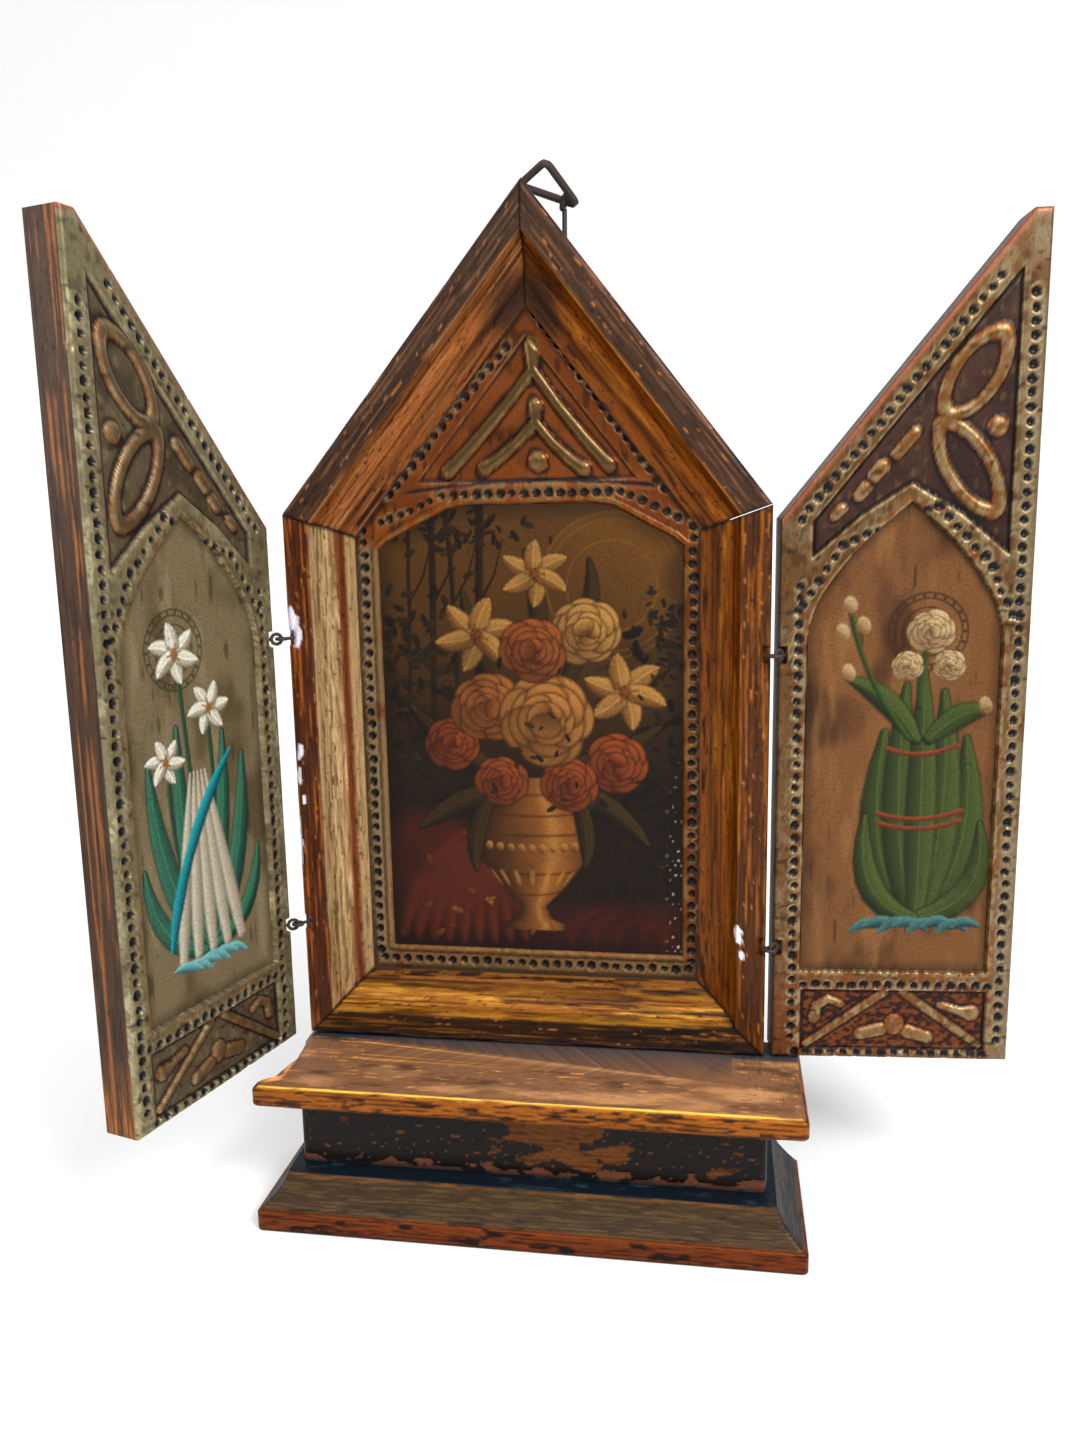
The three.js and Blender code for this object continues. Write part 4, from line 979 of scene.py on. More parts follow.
# A painted highlight along the crests of the relief.
crest_highlight = ease(0.03, 0.16, -cavity) * (1 - recess)
paint = lay(paint, "7c5c34", crest_highlight * ease(0.4, 0.6, streak) * 0.6)
lustre = (0.35 + 0.3 * lip + 0.35 * ridges) * (1 - ease(0.15, 0.5, sunk)) * (1 - recess)
finish = np.column_stack([lustre, 0.36 - 0.1 * ridges + 0.1 * ease(0.15, 0.5, sunk),
                          0.8 * (1 - 0.6 * ridges)])
points, faces, source = close(x, z, depth)
flow = np.column_stack([points[:, 2], points[:, 0] + points[:, 1]])
plain_faces = np.flatnonzero(flat_area[np.array(faces[:(len(board_shares) - 1)
                             * (len(board_columns) - 1)])].all(axis=1))
paint, finish = paint[source], finish[source]
wall = np.arange(len(points)) >= len(x)
paint[wall] = tone("38230f")
finish[wall] = (0, 0.6, 1)
points = points + (PANEL_X, panel_front, 0)
cast_finish = gilder_finish("cast_ornament", 1700, 3, 0.3, 0.06)
board = finished_piece("centre_relief", points, faces, paint, finish, flow, cast_finish,
                       plain_faces)
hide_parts("centre_board")
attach(board, "altarpiece")

# ---- wings -------------------------------------------------------------------------------
# Two boards like half gables, mirror images, hung in front of the panel's edges. Their faces
# carry a punched border, loops, drops and a boss above, and a V with commas and lobes below.

WING_WIDTH, WING_FOOT, WING_SHOULDER, WING_THICKNESS, WING_BLUNT = 72, 48.4, 215.5, 12.4, 5
WING_TIPS = {"left": 293, "right": 298}
WING_FORWARD = {"left": 74.6, "right": -4.3}
FIELD_DEPTH, WINDOW_DEPTH, RIDGE_FRONT = 1.2, 2.2, 0.1
WINDOW_LEFT, WINDOW_RIGHT, WINDOW_FOOT, WINDOW_SPRING = 9.5, 65.5, 77, 181
WINDOW_APEX, WINDOW_PULLS = (38.4, 219.4), ((11.5, 199), (63.5, 199))
UPPER_LEFT, UPPER_RIGHT, UPPER_LOW, UPPER_APEX, UPPER_SLOPE = 10.6, 66.2, 204.3, (38.2, 225), 8
LOWER_FIELD = ((10, 51), (66.2, 51), (66.2, 70.6), (10, 70.6))
LOOPS = (((54.6, 254.6), 57, 13.2, 6), ((53.8, 229), 122, 14.6, 5.8))
WING_BOSS = (61.4, 240.2, 3)
DROPS = (((38.4, 238.8), (33.6, 233), 1.6), ((29.6, 229.6), (27.4, 227), 1.9),
         ((25, 223.6), (23.4, 221.6), 1.7), ((18.4, 217.8), (16.6, 216), 1.5))
V_RIDGES = (((35.4, 70), (11.6, 52.4)), ((41.2, 70), (64.4, 53.2)))
COMMAS = ((((14.2, 61.2), (15, 65.4), (18.4, 67.4), (22, 66)), (1.9, 1.5, 1.4, 1.4)),
          (((61.8, 63.6), (58, 64.4), (52.8, 66)), (2.7, 1.4, 1.3)))
LOBES = (((38.8, 59.4), (38.8, 59.9), 2.8), ((34.6, 57.8), (28.6, 56.2), 1.9),
         ((42.8, 57.2), (48.8, 55.4), 1.9))
# The left wing faces the light from the right, so its tones are paler and more silvery than the right
# wing's, partly painted reflection of that light.
WING_DEPTHS = {"left": (0.62, 0.56, 0.56), "right": (0.44, 0.36, 0.38)}
WING_TONES = {  # border, its painted highlights, fields, ridges, their sides
    "left": ("8f8a66", "c9c79c", "6a5f48", "8d8060", "9a5f2a"),
    "right": ("8a6a3c", "a89a6c", "523a2c", "9a7a40", "b5651c"),
}


def curve_through(start, pull, end, count=12):
    """Points on a curve that leaves its start and reaches its end along lines to a pull."""
    t = np.linspace(0, 1, count)[:, None]
    start, pull, end = map(np.array, (start, pull, end))
    return (1 - t) ** 2 * start + 2 * t * (1 - t) * pull + t ** 2 * end


def window_top():
    """The pointed arch of a wing's window, from its left jamb to its right."""
    left = curve_through((WINDOW_LEFT, WINDOW_SPRING), WINDOW_PULLS[0], WINDOW_APEX)
    right = curve_through(WINDOW_APEX, WINDOW_PULLS[1], (WINDOW_RIGHT, WINDOW_SPRING))
    return np.vstack([left, right[1:]])


def oval_path(middle, angle, half, wide, count=40):
    """A closed pointed oval about a middle."""
    turn = np.linspace(0, 2 * math.pi, count)
    along = half * np.cos(turn)
    across = wide * np.sign(np.sin(turn)) * np.abs(np.sin(turn)) ** 1.25
    cos, sin = math.cos(math.radians(angle)), math.sin(math.radians(angle))
    x = middle[0] + along * cos - across * sin
    z = middle[1] + along * sin + across * cos
    widths = 1.75 + 0.7 * np.abs(np.cos(turn)) ** 6
    return list(zip(x, z)), widths.tolist()


wing_near, wing_far = HINGE_GAP, HINGE_GAP + WING_WIDTH
window_line = window_top()


def wing_relief(side):
    """The face of one wing: its points, depths, and the masks that the painting needs."""
    tip = WING_TIPS[side]
    rise = (tip - WING_SHOULDER) / (WING_WIDTH - WING_BLUNT)
    top = lambda s: np.minimum(WING_SHOULDER + (s - wing_near) * rise, tip)
    edge = np.array([0, 0.12, 0.35, 0.7, 1.1])
    columns = np.concatenate([wing_near + edge, even_steps(wing_near + 1.6, wing_far - 1.6, 0.52),
                              wing_far - edge[::-1]])
    shares = np.concatenate([edge / 250, even_steps(0.0066, 0.9934, 0.00215),
                             1 - edge[::-1] / 250])
    s, z, close = relief_shell(columns, shares, WING_FOOT, top, WING_THICKNESS, 20)
    plan = np.column_stack([s, z])
    seed = {"left": 300, "right": 400}[side]
    window = [(WINDOW_LEFT, WINDOW_FOOT), (WINDOW_RIGHT, WINDOW_FOOT), *window_line[::-1].tolist()]
    to_window = gap_to_outline(s, z, window) + 0.3 * (mottle(plan, 8, seed) - 0.5)
    drop = UPPER_SLOPE * math.hypot(1, rise)
    upper = [(UPPER_LEFT, UPPER_LOW), (24, 216), UPPER_APEX, (52.6, 216), (UPPER_RIGHT, UPPER_LOW),
             (UPPER_RIGHT, float(top(UPPER_RIGHT)) - drop), (UPPER_LEFT,
                                                             float(top(UPPER_LEFT)) - drop)]
    to_upper = gap_to_outline(s, z, upper)
    to_lower = gap_to_outline(s, z, LOWER_FIELD)
    slope_gap = (top(s) - z) / np.where(s < wing_far - WING_BLUNT, math.hypot(1, rise), 1)
    to_edge = np.minimum.reduce([s - wing_near, wing_far - s, z - WING_FOOT, slope_gap])
    fields = ease(0.45, -0.45, np.minimum(to_upper, to_lower))
    lip = np.exp(-((to_window - 1.1) / 0.8) ** 2)
    ridges = np.zeros(len(s))
    for middle, angle, half, wide in LOOPS:
        ridges = np.maximum(ridges, ridge(s, z, *oval_path(middle, angle, half, wide)))
    for start, end, wide in (*DROPS, *LOBES):
        ridges = np.maximum(ridges, ridge(s, z, [start, end], [wide * 1.2, wide * 1.1]))
    for path in V_RIDGES:
        ridges = np.maximum(ridges, ridge(s, z, path, [1.45, 1.2]))
    for path, widths in COMMAS:
        ridges = np.maximum(ridges, ridge(s, z, path, list(widths)))
    boss = np.hypot(s - WING_BOSS[0], z - WING_BOSS[1]) / WING_BOSS[2]
    ridges = np.maximum(ridges, np.sqrt((1 - boss ** 2).clip(0))) * ease(0.6, -0.4, np.minimum(
        to_upper, to_lower))
    slope_out = 4.6 * math.hypot(1, rise)
    arch_out = np.array([(a + (5.0 if a > 38.4 else -5.0) * 0.62, b + 2.6) for a,
                         b in window_line])
    arch_out[len(arch_out) // 2] = (WINDOW_APEX[0], WINDOW_APEX[1] + 4.0)
    rows = [((7, 55), (7, 196)), ((69.8, 55), (69.8, tip - 22)), ((10.5, 72.6), (66.5, 72.6)),
            ((8, 50.4), (66, 50.4)), ((7, float(top(7.0)) - slope_out), (60,
                                                                         float(top(60.0)) - slope_out))]
    rows += [(tuple(arch_out[i]), tuple(arch_out[i + 5])) for i in (2, 7, 12, 16)]
    sunk, rim_near = punched(s, z, rows, seed + 1)
    recess = ease(0.15, -0.25, to_window)
    solid = (1 - recess) * (1 - fields)
    groove = np.exp(-((np.minimum(to_upper, to_lower) + 0.3) / 0.55) ** 2) * (ridges < 0.1)
    depth = 0.12 + (FIELD_DEPTH - 0.12) * fields - (FIELD_DEPTH - RIDGE_FRONT) * ridges * fields
    depth += 0.35 * groove - 0.1 * lip
    depth += (PUNCH_DEPTH * sunk - 0.1 * rim_near) * solid
    depth += 0.16 * (layered(plan, (9, 12), seed + 3) - 0.4).clip(0) * (1 - ridges)
    depth = depth * (1 - recess) + WINDOW_DEPTH * recess
    arris = np.sqrt((1 - (1 - (to_edge / 1.3).clip(0, 1)) ** 2).clip(0))
    nicks = ease(0.66, 0.8, layered(plan, (3, 4), seed + 5)) * ease(1.6, 0.2, to_edge)
    depth += 1.2 * (1 - arris) + 0.5 * nicks
    depth = hinge_notch(s, z, depth.clip(0.02), HINGE_HEIGHTS[side])
    cavity = hollows(depth, len(shares), len(columns)) * ease(0.6, 1.8, to_edge)
    grid = (len(shares), len(columns))
    return {"s": s, "z": z, "plan": plan, "depth": depth, "close": close, "fields": fields,
            "ridges": ridges, "sunk": sunk, "rim": rim_near, "recess": recess, "cavity": cavity,
            "to_window": to_window, "to_edge": to_edge, "slope_gap": slope_gap, "lip": lip,
            "grid": grid, "seed": seed, "lower": ease(76, 72, z), "nicks": nicks}


def painted_wing(side, face):
    """The laid paint and finish of a wing's face."""
    border, border_highlight, field, top_light, glow = (tone(code) for code in WING_TONES[side])
    plan, ridges, seed = face["plan"], face["ridges"], face["seed"]
    cloud = layered(plan, (10, 14), seed + 7)
    fine = layered(plan, (1.6, 3.4), seed + 9)
    dots = layered(plan, (1.3, 1.3), seed + 11, 2)
    paint = np.tile(border, (len(plan), 1))
    # Painted highlights broken over the border.
    paint = lay(paint, border_highlight, ease(0.4, 0.65, cloud) * ease(0.35, 0.6, fine))
    paint = lay(paint, border * 0.4, ease(0.55, 0.72, fine) * 0.7)
    paint = lay(paint, field, face["fields"])
    paint = lay(paint, field * 0.45, face["fields"] * ease(0.45, 0.7, cloud) * 0.8)
    paint = lay(paint, border, face["fields"] * ease(0.6, 0.75, fine) * 0.5)
    if side == "right":
        stipple = face["fields"] * face["lower"]
        paint = lay(paint, "9a5518", stipple * 0.8)
        paint = lay(paint, "3a1e12", stipple * ease(0.42, 0.55, dots))
        paint = lay(paint, "98541c", face["lower"] * (1 - face["fields"]) * 0.6)
        paint = lay(paint, "a39c74", ease(66.5, 69, face["s"]) * ease(0.3, 0.5, cloud) * 0.8)
    paint = lay(paint, glow, ease(0.03, 0.35, ridges) * 0.9)
    paint = lay(paint, top_light, ease(0.55, 0.9, ridges) * 0.8)
    paint = lay(paint, glow, face["lip"] * ease(0.4, 0.6, cloud) * 0.6)
    # Painted shade in the hollows of the relief.
    paint = lay(paint, "1b151a", ease(0.03, 0.17, face["cavity"]) * (1 - face["recess"]) * 0.88)
    paint = lay(paint, "131521", ease(0.15, 0.5, face["sunk"]) * (1 - face["fields"]))
    paint *= WING_DEPTHS[side]
    # A painted highlight along the crests of the relief.
    crest_highlight = ease(0.02, 0.12, -face["cavity"]) * (1 - face["recess"])
    paint = lay(paint, "8f7c58", crest_highlight * ease(0.35, 0.6, fine) * 0.7)
    pitted = ease(0.68, 0.76, layered(plan, (2.4, 2.0), seed + 17)) * (1 - face["recess"])
    paint = lay(paint, "17110e", pitted * 0.7)
    slope = ease(2.2, 0.8, face["slope_gap"])
    paint = lay(paint, "8e5238", slope * 0.8)
    paint = lay(paint, "d9a070", slope * face["nicks"] * 0.8)
    lustre = (0.5 + 0.3 * ridges + 0.1 * face["lip"]) * (1 - ease(0.15, 0.5, face["sunk"]))
    lustre *= 1 - 0.4 * face["fields"] * (1 - ridges)
    finish = np.column_stack([lustre, 0.36 - 0.1 * ridges + 0.12 * face["fields"],
                              0.8 - 0.5 * ridges])
    return paint, finish


def wing_place(side):
    """A function from s, depth and height on a wing to places in the altarpiece's frame."""
    joint = next(j for j in frame["joints"] if j["name"] == side + "_wing_swing")
    sign = 1 if side == "right" else -1
    angle = math.radians(-sign * WING_FORWARD[side])
    along = sign * np.array((math.cos(angle), math.sin(angle), 0))
    behind = np.array((-math.sin(angle), math.cos(angle), 0))
    axis = np.array((joint["pos_m"][0] / MM, joint["pos_m"][1] / MM, 0))
    rise = np.array((0, 0, 1))
    return lambda s, depth, z: (axis + np.outer(s, along) + np.outer(depth + HINGE_LEAD, behind)
                                + np.outer(z, rise))


for side in ("left", "right"):
    face = wing_relief(side)
    paint, finish = painted_wing(side, face)
    points, faces, source = face["close"](face["s"], face["z"], face["depth"])
    s, deep, z = points.T
    wall = np.arange(len(points)) >= len(face["s"])
    around = np.where(np.abs(s - s.mean()) > WING_WIDTH / 2 - 1.5, z, s)
    flow = np.where(wall[:, None], np.column_stack([around, deep]), np.column_stack([z, s]))
    streak = layered(flow, (16, 0.6), face["seed"] + 13, 4)
    paint, finish = paint[source], finish[source]
    sides = np.tile(tone("3a2412"), (len(points), 1))
    sides = lay(sides, "1a100a", ease(0.5, 0.7, streak))
    sides = lay(sides, "8a5020", ease(0.58, 0.74, layered(flow, (30, 1.2),
                                                          face["seed"] + 15)) * 0.8)
    sides = lay(sides, "a3601c", ease(75, 50, z) * ease(0.4, 0.6, streak) * 0.7)
    paint = np.where(wall[:, None], sides, paint)
    finish[wall] = (0.12, 0.5, 1.0)
    rows, count = face["grid"]
    back = slice(-2 * (rows + count) + 4, None)
    paint[back], finish[back] = tone("3a2412"), (0, 0.6, 1.0)
    flow[back] = np.column_stack([z, s])[back]
    squares = np.array(faces[:(rows - 1) * (count - 1)])
    plain_faces = np.flatnonzero((face["to_window"] < -1.2)[squares].all(axis=1))
    place = wing_place(side)
    wing = finished_piece(side + "_wing_relief", place(s, deep, z), faces, paint, finish, flow,
                          cast_finish, plain_faces)
    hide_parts(side + "_wing")
    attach(wing, side + "_wing")

# ---- centre picture ----------------------------------------------------------------------
# A varnished print behind the arched opening: roses and lilies in an urn over a red cloth,
# before dusk trees and a low sun. The varnish is brown and finely cracked.

PICTURE_STEP = 0.4
PICTURE_FRONT, PICTURE_BACK, PICTURE_EDGE = 9.15, 9.5, 0.3
LIGHT_WAY = np.array((0.5, 0.75))
PEACH, CREAM = tone("b87a48"), tone("d8b077")
LEAF_DARK, LEAF_LIGHT = tone("1c160b"), tone("4c3f1d")


def window_points(picture, low, high):
    """The numbers and places of a picture's points inside a box."""
    _, x, z = picture
    inside = (x > low[0]) & (x < high[0]) & (z > low[1]) & (z < high[1])
    near = np.flatnonzero(inside)
    return near, x[near], z[near]


def disc(picture, middle, radii, turn, dark, light, way=LIGHT_WAY, edge=0.12, share=1):
    """Paints an oval that runs from dark to light along a way; turn is in radians."""
    reach = max(radii) * 1.3
    near, x, z = window_points(picture, np.array(middle) - reach, np.array(middle) + reach)
    x, z = x - middle[0], z - middle[1]
    cos, sin = math.cos(turn), math.sin(turn)
    along, across = (x * cos + z * sin) / radii[0], (z * cos - x * sin) / radii[1]
    inside = ease(1 + edge, 1 - edge, np.hypot(along, across)) * share
    form = ease(-0.9, 0.9, (x * way[0] + z * way[1]) / max(radii))[:, None]
    paint = picture[0]
    paint[near] = lay(paint[near], dark + (light - dark) * form, inside)


def brush(picture, path, widths, dark, light, edge=0.2, share=1):
    """Paints a rounded stroke that tapers along a path, dark away from the light."""
    path = [tuple(place) for place in path]
    reach = max(widths) * 1.3 + 0.5
    near, x, z = window_points(picture, np.min(path, axis=0) - reach, np.max(path, axis=0) + reach)
    best, form = np.full(len(near), 1e9), np.zeros(len(near))
    for (ax, az), (bx, bz), wide_a, wide_b in zip(path, path[1:], widths, widths[1:]):
        length = max((bx - ax) ** 2 + (bz - az) ** 2, 1e-9)
        part = (((x - ax) * (bx - ax) + (z - az) * (bz - az)) / length).clip(0, 1)
        off_x, off_z = x - ax - (bx - ax) * part, z - az - (bz - az) * part
        wide = wide_a + (wide_b - wide_a) * part
        gap = np.hypot(off_x, off_z) / wide
        lit = (off_x * LIGHT_WAY[0] + off_z * LIGHT_WAY[1]) / wide
        best, form = np.where(gap < best, gap, best), np.where(gap < best, lit, form)
    form = ease(-0.85, 0.85, form)[:, None]
    paint = picture[0]
    paint[near] = lay(paint[near], dark + (light - dark) * form,
                      ease(1 + edge, 1 - edge, best) * share)


def leaf(picture, start, pull, end, width, dark, light):
    """Paints a bent pointed leaf with a dark edge and a pale rib."""
    path = curve_through(start, pull, end, 8)
    taper = np.sin(np.linspace(0.12, 0.97, 8) * math.pi) ** 0.75 * width + 0.12
    brush(picture, path, (taper + 0.35).tolist(), dark * 0.35, dark * 0.35)
    brush(picture, path, taper.tolist(), dark, light)
    brush(picture, path, [0.22] * 8, light * 1.25, light * 1.25, 0.5, 0.6)


def rose(picture, middle, radius, dark, light, seed):
    """Paints a full rose: rings of cupped petals, the outer ones first."""
    draw = np.random.default_rng(seed)
    middle = np.array(middle, dtype=float)
    for ring, count in ((0.68, 7), (0.5, 6), (0.33, 5), (0.16, 4)):
        first = draw.uniform(0, math.tau)
        for k in range(count):
            turn = first + math.tau * k / count + draw.normal(0, 0.12)
            way = np.array((math.cos(turn), math.sin(turn)))
            at = middle + way * radius * ring * (1, 0.9)
            size = radius * (0.2 + 0.3 * ring) * draw.uniform(0.9, 1.12)
            lit = light * (0.82 + 0.28 * (way @ LIGHT_WAY))
            disc(picture, at, (size * 1.05, size * 1.36), turn, dark * 0.4, dark * 0.4)
            disc(picture, at, (size * 0.94, size * 1.24), turn, dark, lit,
                 way * 0.9 + LIGHT_WAY * 0.4)


def lily(picture, middle, radius, first, dark, light):
    """Paints an open lily: six pointed petals round a dark throat with ochre stamens."""
    middle = np.array(middle, dtype=float)
    turns = [first + k * math.tau / 6 for k in (0, 2, 4, 1, 3, 5)]
    for turn in turns:
        way = np.array((math.cos(turn), math.sin(turn) * 0.9))
        side = np.array((-way[1], way[0]))
        leaf(picture, middle, middle + way * radius * 0.5 + side * radius * 0.12,
             middle + way * radius, radius * 0.23, dark, light)
    disc(picture, middle, (radius * 0.16,) * 2, 0, dark * 0.4, dark * 0.8, edge=0.5)
    for turn in turns:
        at = middle + np.array((math.cos(turn + 0.5), math.sin(turn + 0.5))) * radius * 0.3
        brush(picture, (middle, at), [0.25, 0.3], tone("6a3a12"), tone("b8782a"))


def foliage(picture, middle, spread, count, size, dark, light, seed):
    """Paints a cloud of small leaves scattered about a middle."""
    draw = np.random.default_rng(seed)
    for _ in range(count):
        at = np.array(middle) + draw.normal(0, 1, 2) * spread
        tint = draw.uniform(0, 1)
        lit = dark + (light - dark) * tint
        long = size * draw.uniform(0.6, 1.3)
        disc(picture, at, (long, long * 0.45), draw.uniform(0, math.pi), lit * 0.6, lit)


def print_finish(name, cell, strength):
    """An old colour print: the laid paint, dark hairline cracks and a worn varnish."""
    material = bpy.data.materials.new(name)
    material.use_nodes = True
    tree = material.node_tree
    shader = tree.nodes["Principled BSDF"]
    place = node(tree, "ShaderNodeUVMap", uv_map="surface").outputs["UV"]
    paint = node(tree, "ShaderNodeAttribute", attribute_name="paint")
    bend = noise(tree, place, 2.0, scale=260.0)["Color"]
    shift = stretched(tree, bend, (0.003, 0.003, 0.003))
    bent = combined(tree, "ADD", place, shift, "ShaderNodeVectorMath")
    cells = node(tree, "ShaderNodeTexVoronoi", {"Vector": bent, "Scale": 1 / (cell * MM)},
                 feature="DISTANCE_TO_EDGE")
    crack = mapped(tree, cells.outputs["Distance"], 0.0, 0.05, strength, 0.0)
    patch = noise(tree, place, 3.0, scale=45.0)[0]
    cracked = combined(tree, "MULTIPLY", crack, mapped(tree, patch, 0.42, 0.62))
    dots = mapped(tree, noise(tree, place, 2.0, scale=1400.0)[0], 0.3, 0.7, 0.8, 1.2)
    dark = combined(tree, "SUBTRACT", 1.0, cracked)
    shade = combined(tree, "MULTIPLY", dark, dots)
    tree.links.new(stretched(tree, paint.outputs["Color"], shade), shader.inputs["Base Color"])
    raised = node(tree, "ShaderNodeBump", {"Height": dark, "Distance": 0.04 * MM})
    tree.links.new(raised.outputs["Normal"], shader.inputs["Normal"])
    tree.links.new(mapped(tree, patch, 0.0, 1.0, 0.3, 0.6), shader.inputs["Roughness"])
    shader.inputs["Specular IOR Level"].default_value = 0.15
    return material


def picture_sheet(left, right, foot, top, front, back, seed):
    """A thin sheet that fills an opening: its plane places, its depths and its closing."""
    columns = even_steps(left, right, PICTURE_STEP)
    shares = even_steps(0, 1, PICTURE_STEP / (float(top(columns).max()) - foot))
    x, z, close = relief_shell(columns, shares, foot, top, back, 1)
    wave = layered(np.column_stack([x, z]), (22, 30), seed)
    return x, z, front + 0.12 * wave, close


arch_top = lambda x: np.interp(x, arch_x, arch_z) - PICTURE_EDGE
x, z, depth, close = picture_sheet(ARCH_LEFT + PICTURE_EDGE, ARCH_RIGHT - PICTURE_EDGE,
                                   ARCH_BOTTOM + PICTURE_EDGE, arch_top, PICTURE_FRONT,
                                   PICTURE_BACK, 501)
plan = np.column_stack([x, z])
dusk = ease(120, 225, z + 8 * (layered(plan, (30, 14), 503) - 0.5))
paint = lay(np.tile(tone("20150c"), (len(x), 1)), tone("6b4d24"), dusk)
picture = (paint, x, z)
disc(picture, (27, 196), (23, 23), 0, tone("5c3f1a"), tone("7d5a26"), edge=0.03)
for radius in (22.4, 20.2, 14):
    turn = np.linspace(0, math.tau, 60)
    ring = np.column_stack([27 + radius * np.cos(turn), 196 + radius * np.sin(turn)])
    brush(picture, ring, [0.28] * 60, tone("8a6a30"), tone("8a6a30"), 0.6, 0.7)
for foot_x, top_x, wide in ((-31, -29.5, 1.1), (-23, -25, 0.8), (-16.5, -14, 1.3), (-39, -37,
                                                                                    0.6)):
    trunk = curve_through((foot_x, 140), (foot_x + 1.5, 180), (top_x, 222), 9)
    brush(picture, trunk, [wide] * 9, tone("1b1209"), tone("3a2612"))
    brush(picture, (trunk[5], trunk[5] + (5, 9), trunk[5] + (8, 20)), [wide * 0.5, 0.35, 0.2],
          tone("1b1209"), tone("3a2612"))
foliage(picture, (-34, 172), (9, 12), 130, 2.0, LEAF_DARK, tone("40351a"), 505)
foliage(picture, (-24, 214), (13, 5), 70, 1.7, LEAF_DARK, tone("3d3018"), 506)
foliage(picture, (41, 178), (5, 10), 60, 1.8, LEAF_DARK, tone("3a2c14"), 507)
foliage(picture, (34, 128), (11, 24), 150, 2.6, tone("120d07"), tone("2a1e10"), 508)
foliage(picture, (-30, 135), (9, 12), 90, 2.4, tone("150f08"), tone("33260f"), 509)

cloth_dark, cloth_light = tone("2c0d08"), tone("8a3c1a")
disc(picture, (-32, 96), (21, 26), 0.3, cloth_dark, tone("5e2410"), edge=0.25)
disc(picture, (18, 82), (38, 11), 0.12, cloth_dark, tone("4a1c0e"), edge=0.3)
for k, bend in enumerate(np.linspace(-1, 1, 9)):
    start = (-44 + 5.2 * k, 79 + 1.5 * abs(bend))
    fold = curve_through(start, (-40 + 4 * k, 100), (-22 + 2.6 * k, 116 - 2.2 * k), 9)
    brush(picture, fold, (0.5 + 2.2 * np.sin(np.linspace(0.1, 0.9, 9) * math.pi)).tolist(),
          cloth_dark, cloth_light, 0.6, 0.8)
for k in range(5):
    fold = curve_through((14 + 7 * k, 78), (8 + 9 * k, 84 + k), (24 + 6 * k, 92 - 2 * k), 7)
    brush(picture, fold, [0.4, 1.3, 1.9, 2.1, 1.8, 1.2, 0.4], cloth_dark, tone("6b2812"), 0.6, 0.7)

urn_x = 0.5
heights = (84, 86, 88, 92, 98, 108, 118, 124, 128, 131, 133.5, 135)
widths = (10, 10.4, 6, 4.2, 10, 17.5, 19, 15.5, 10, 9.2, 11.6, 12.2)
half = np.interp(z, heights, widths)
across = (x - urn_x) / half
in_urn = ease(0.4, -0.4, np.abs(x - urn_x) - half) * ease(83.7, 84.3, z) * ease(135.3, 134.7, z)
roundness = ease(-1.0, 0.55, across) * ease(1.25, 0.6, across)
clay = lay(np.tile(tone("3a1f0e"), (len(x), 1)), tone("a8713a"), roundness)
clay = lay(clay, "dcae6c", np.exp(-((across - 0.38) / 0.14) ** 2) * 0.5)
for level in (98, 105, 118, 124.5, 131.5):
    bowed = z - level + 2.2 * np.sqrt((1 - across ** 2).clip(0))
    clay = lay(clay, "54300f", np.exp(-((bowed) / 0.45) ** 2) * 0.8)
flutes = ease(0.3, 0.9, np.cos(np.arcsin(across.clip(-1, 1)) * 16)) * ease(98, 101, z) * ease(
    105, 103, z)
clay = lay(clay, "dba763", flutes * 0.6)
paint[:] = paint + (clay - paint) * in_urn[:, None]
for k in range(9):
    at = (urn_x - 14 + 3.5 * k, 111.5 - 0.055 * (k - 4) ** 2 * -1)
    disc(picture, at, (1.2, 1.5), 0, tone("6a3c18"), tone("e0b070"), share=0.8)

for start, pull, end, wide in (
    ((-4, 134), (-26, 142), (-38, 158), 3.6), ((-6, 132), (-24, 128), (-36, 118), 3.2),
    ((8, 134), (26, 128), (38, 114), 3.4), ((6, 136), (28, 140), (42, 152), 3.4),
    ((-2, 150), (-18, 178), (-20, 194), 2.8), ((4, 160), (6, 190), (0, 207), 2.6),
    ((10, 160), (24, 190), (20, 204), 2.6), ((14, 132), (20, 118), (18, 106), 2.6),
    ((-12, 130), (-20, 116), (-18, 104), 2.6), ((14, 150), (38, 170), (44, 170), 2.8),
):
    leaf(picture, start, pull, end, wide, LEAF_DARK, LEAF_LIGHT)
for middle, radius, seed in (((-25, 146), 8.5, 1), ((28, 140), 9.5, 2), ((-9, 134), 8, 3),
                             ((13, 133), 8.5, 4)):
    rose(picture, middle, radius, tone("5a2210"), tone("a85a30"), seed)
for middle, radius, first in (((-16, 181), 13, 0.2), ((31, 163), 13, 0.7), ((3, 200), 11, 0.5)):
    lily(picture, middle, radius, first, tone("7a5228"), CREAM)
for middle, radius, dark, light, seed in (
    ((-13, 158), 11, tone("6c3c1c"), PEACH, 11), ((19, 182), 10.5, tone("6e4220"), CREAM, 12),
    ((6, 154), 14.5, tone("74451f"), tone("cf9a60"), 13),
    ((2, 176), 10, tone("5e2a14"), tone("b06a3c"), 14),
):
    rose(picture, middle, radius, dark, light, seed)
foliage(picture, (2, 142), (24, 16), 34, 1.5, LEAF_DARK, LEAF_LIGHT, 511)
foliage(picture, (-14, 92), (16, 5), 14, 1.6, tone("6e3a1c"), PEACH, 512)

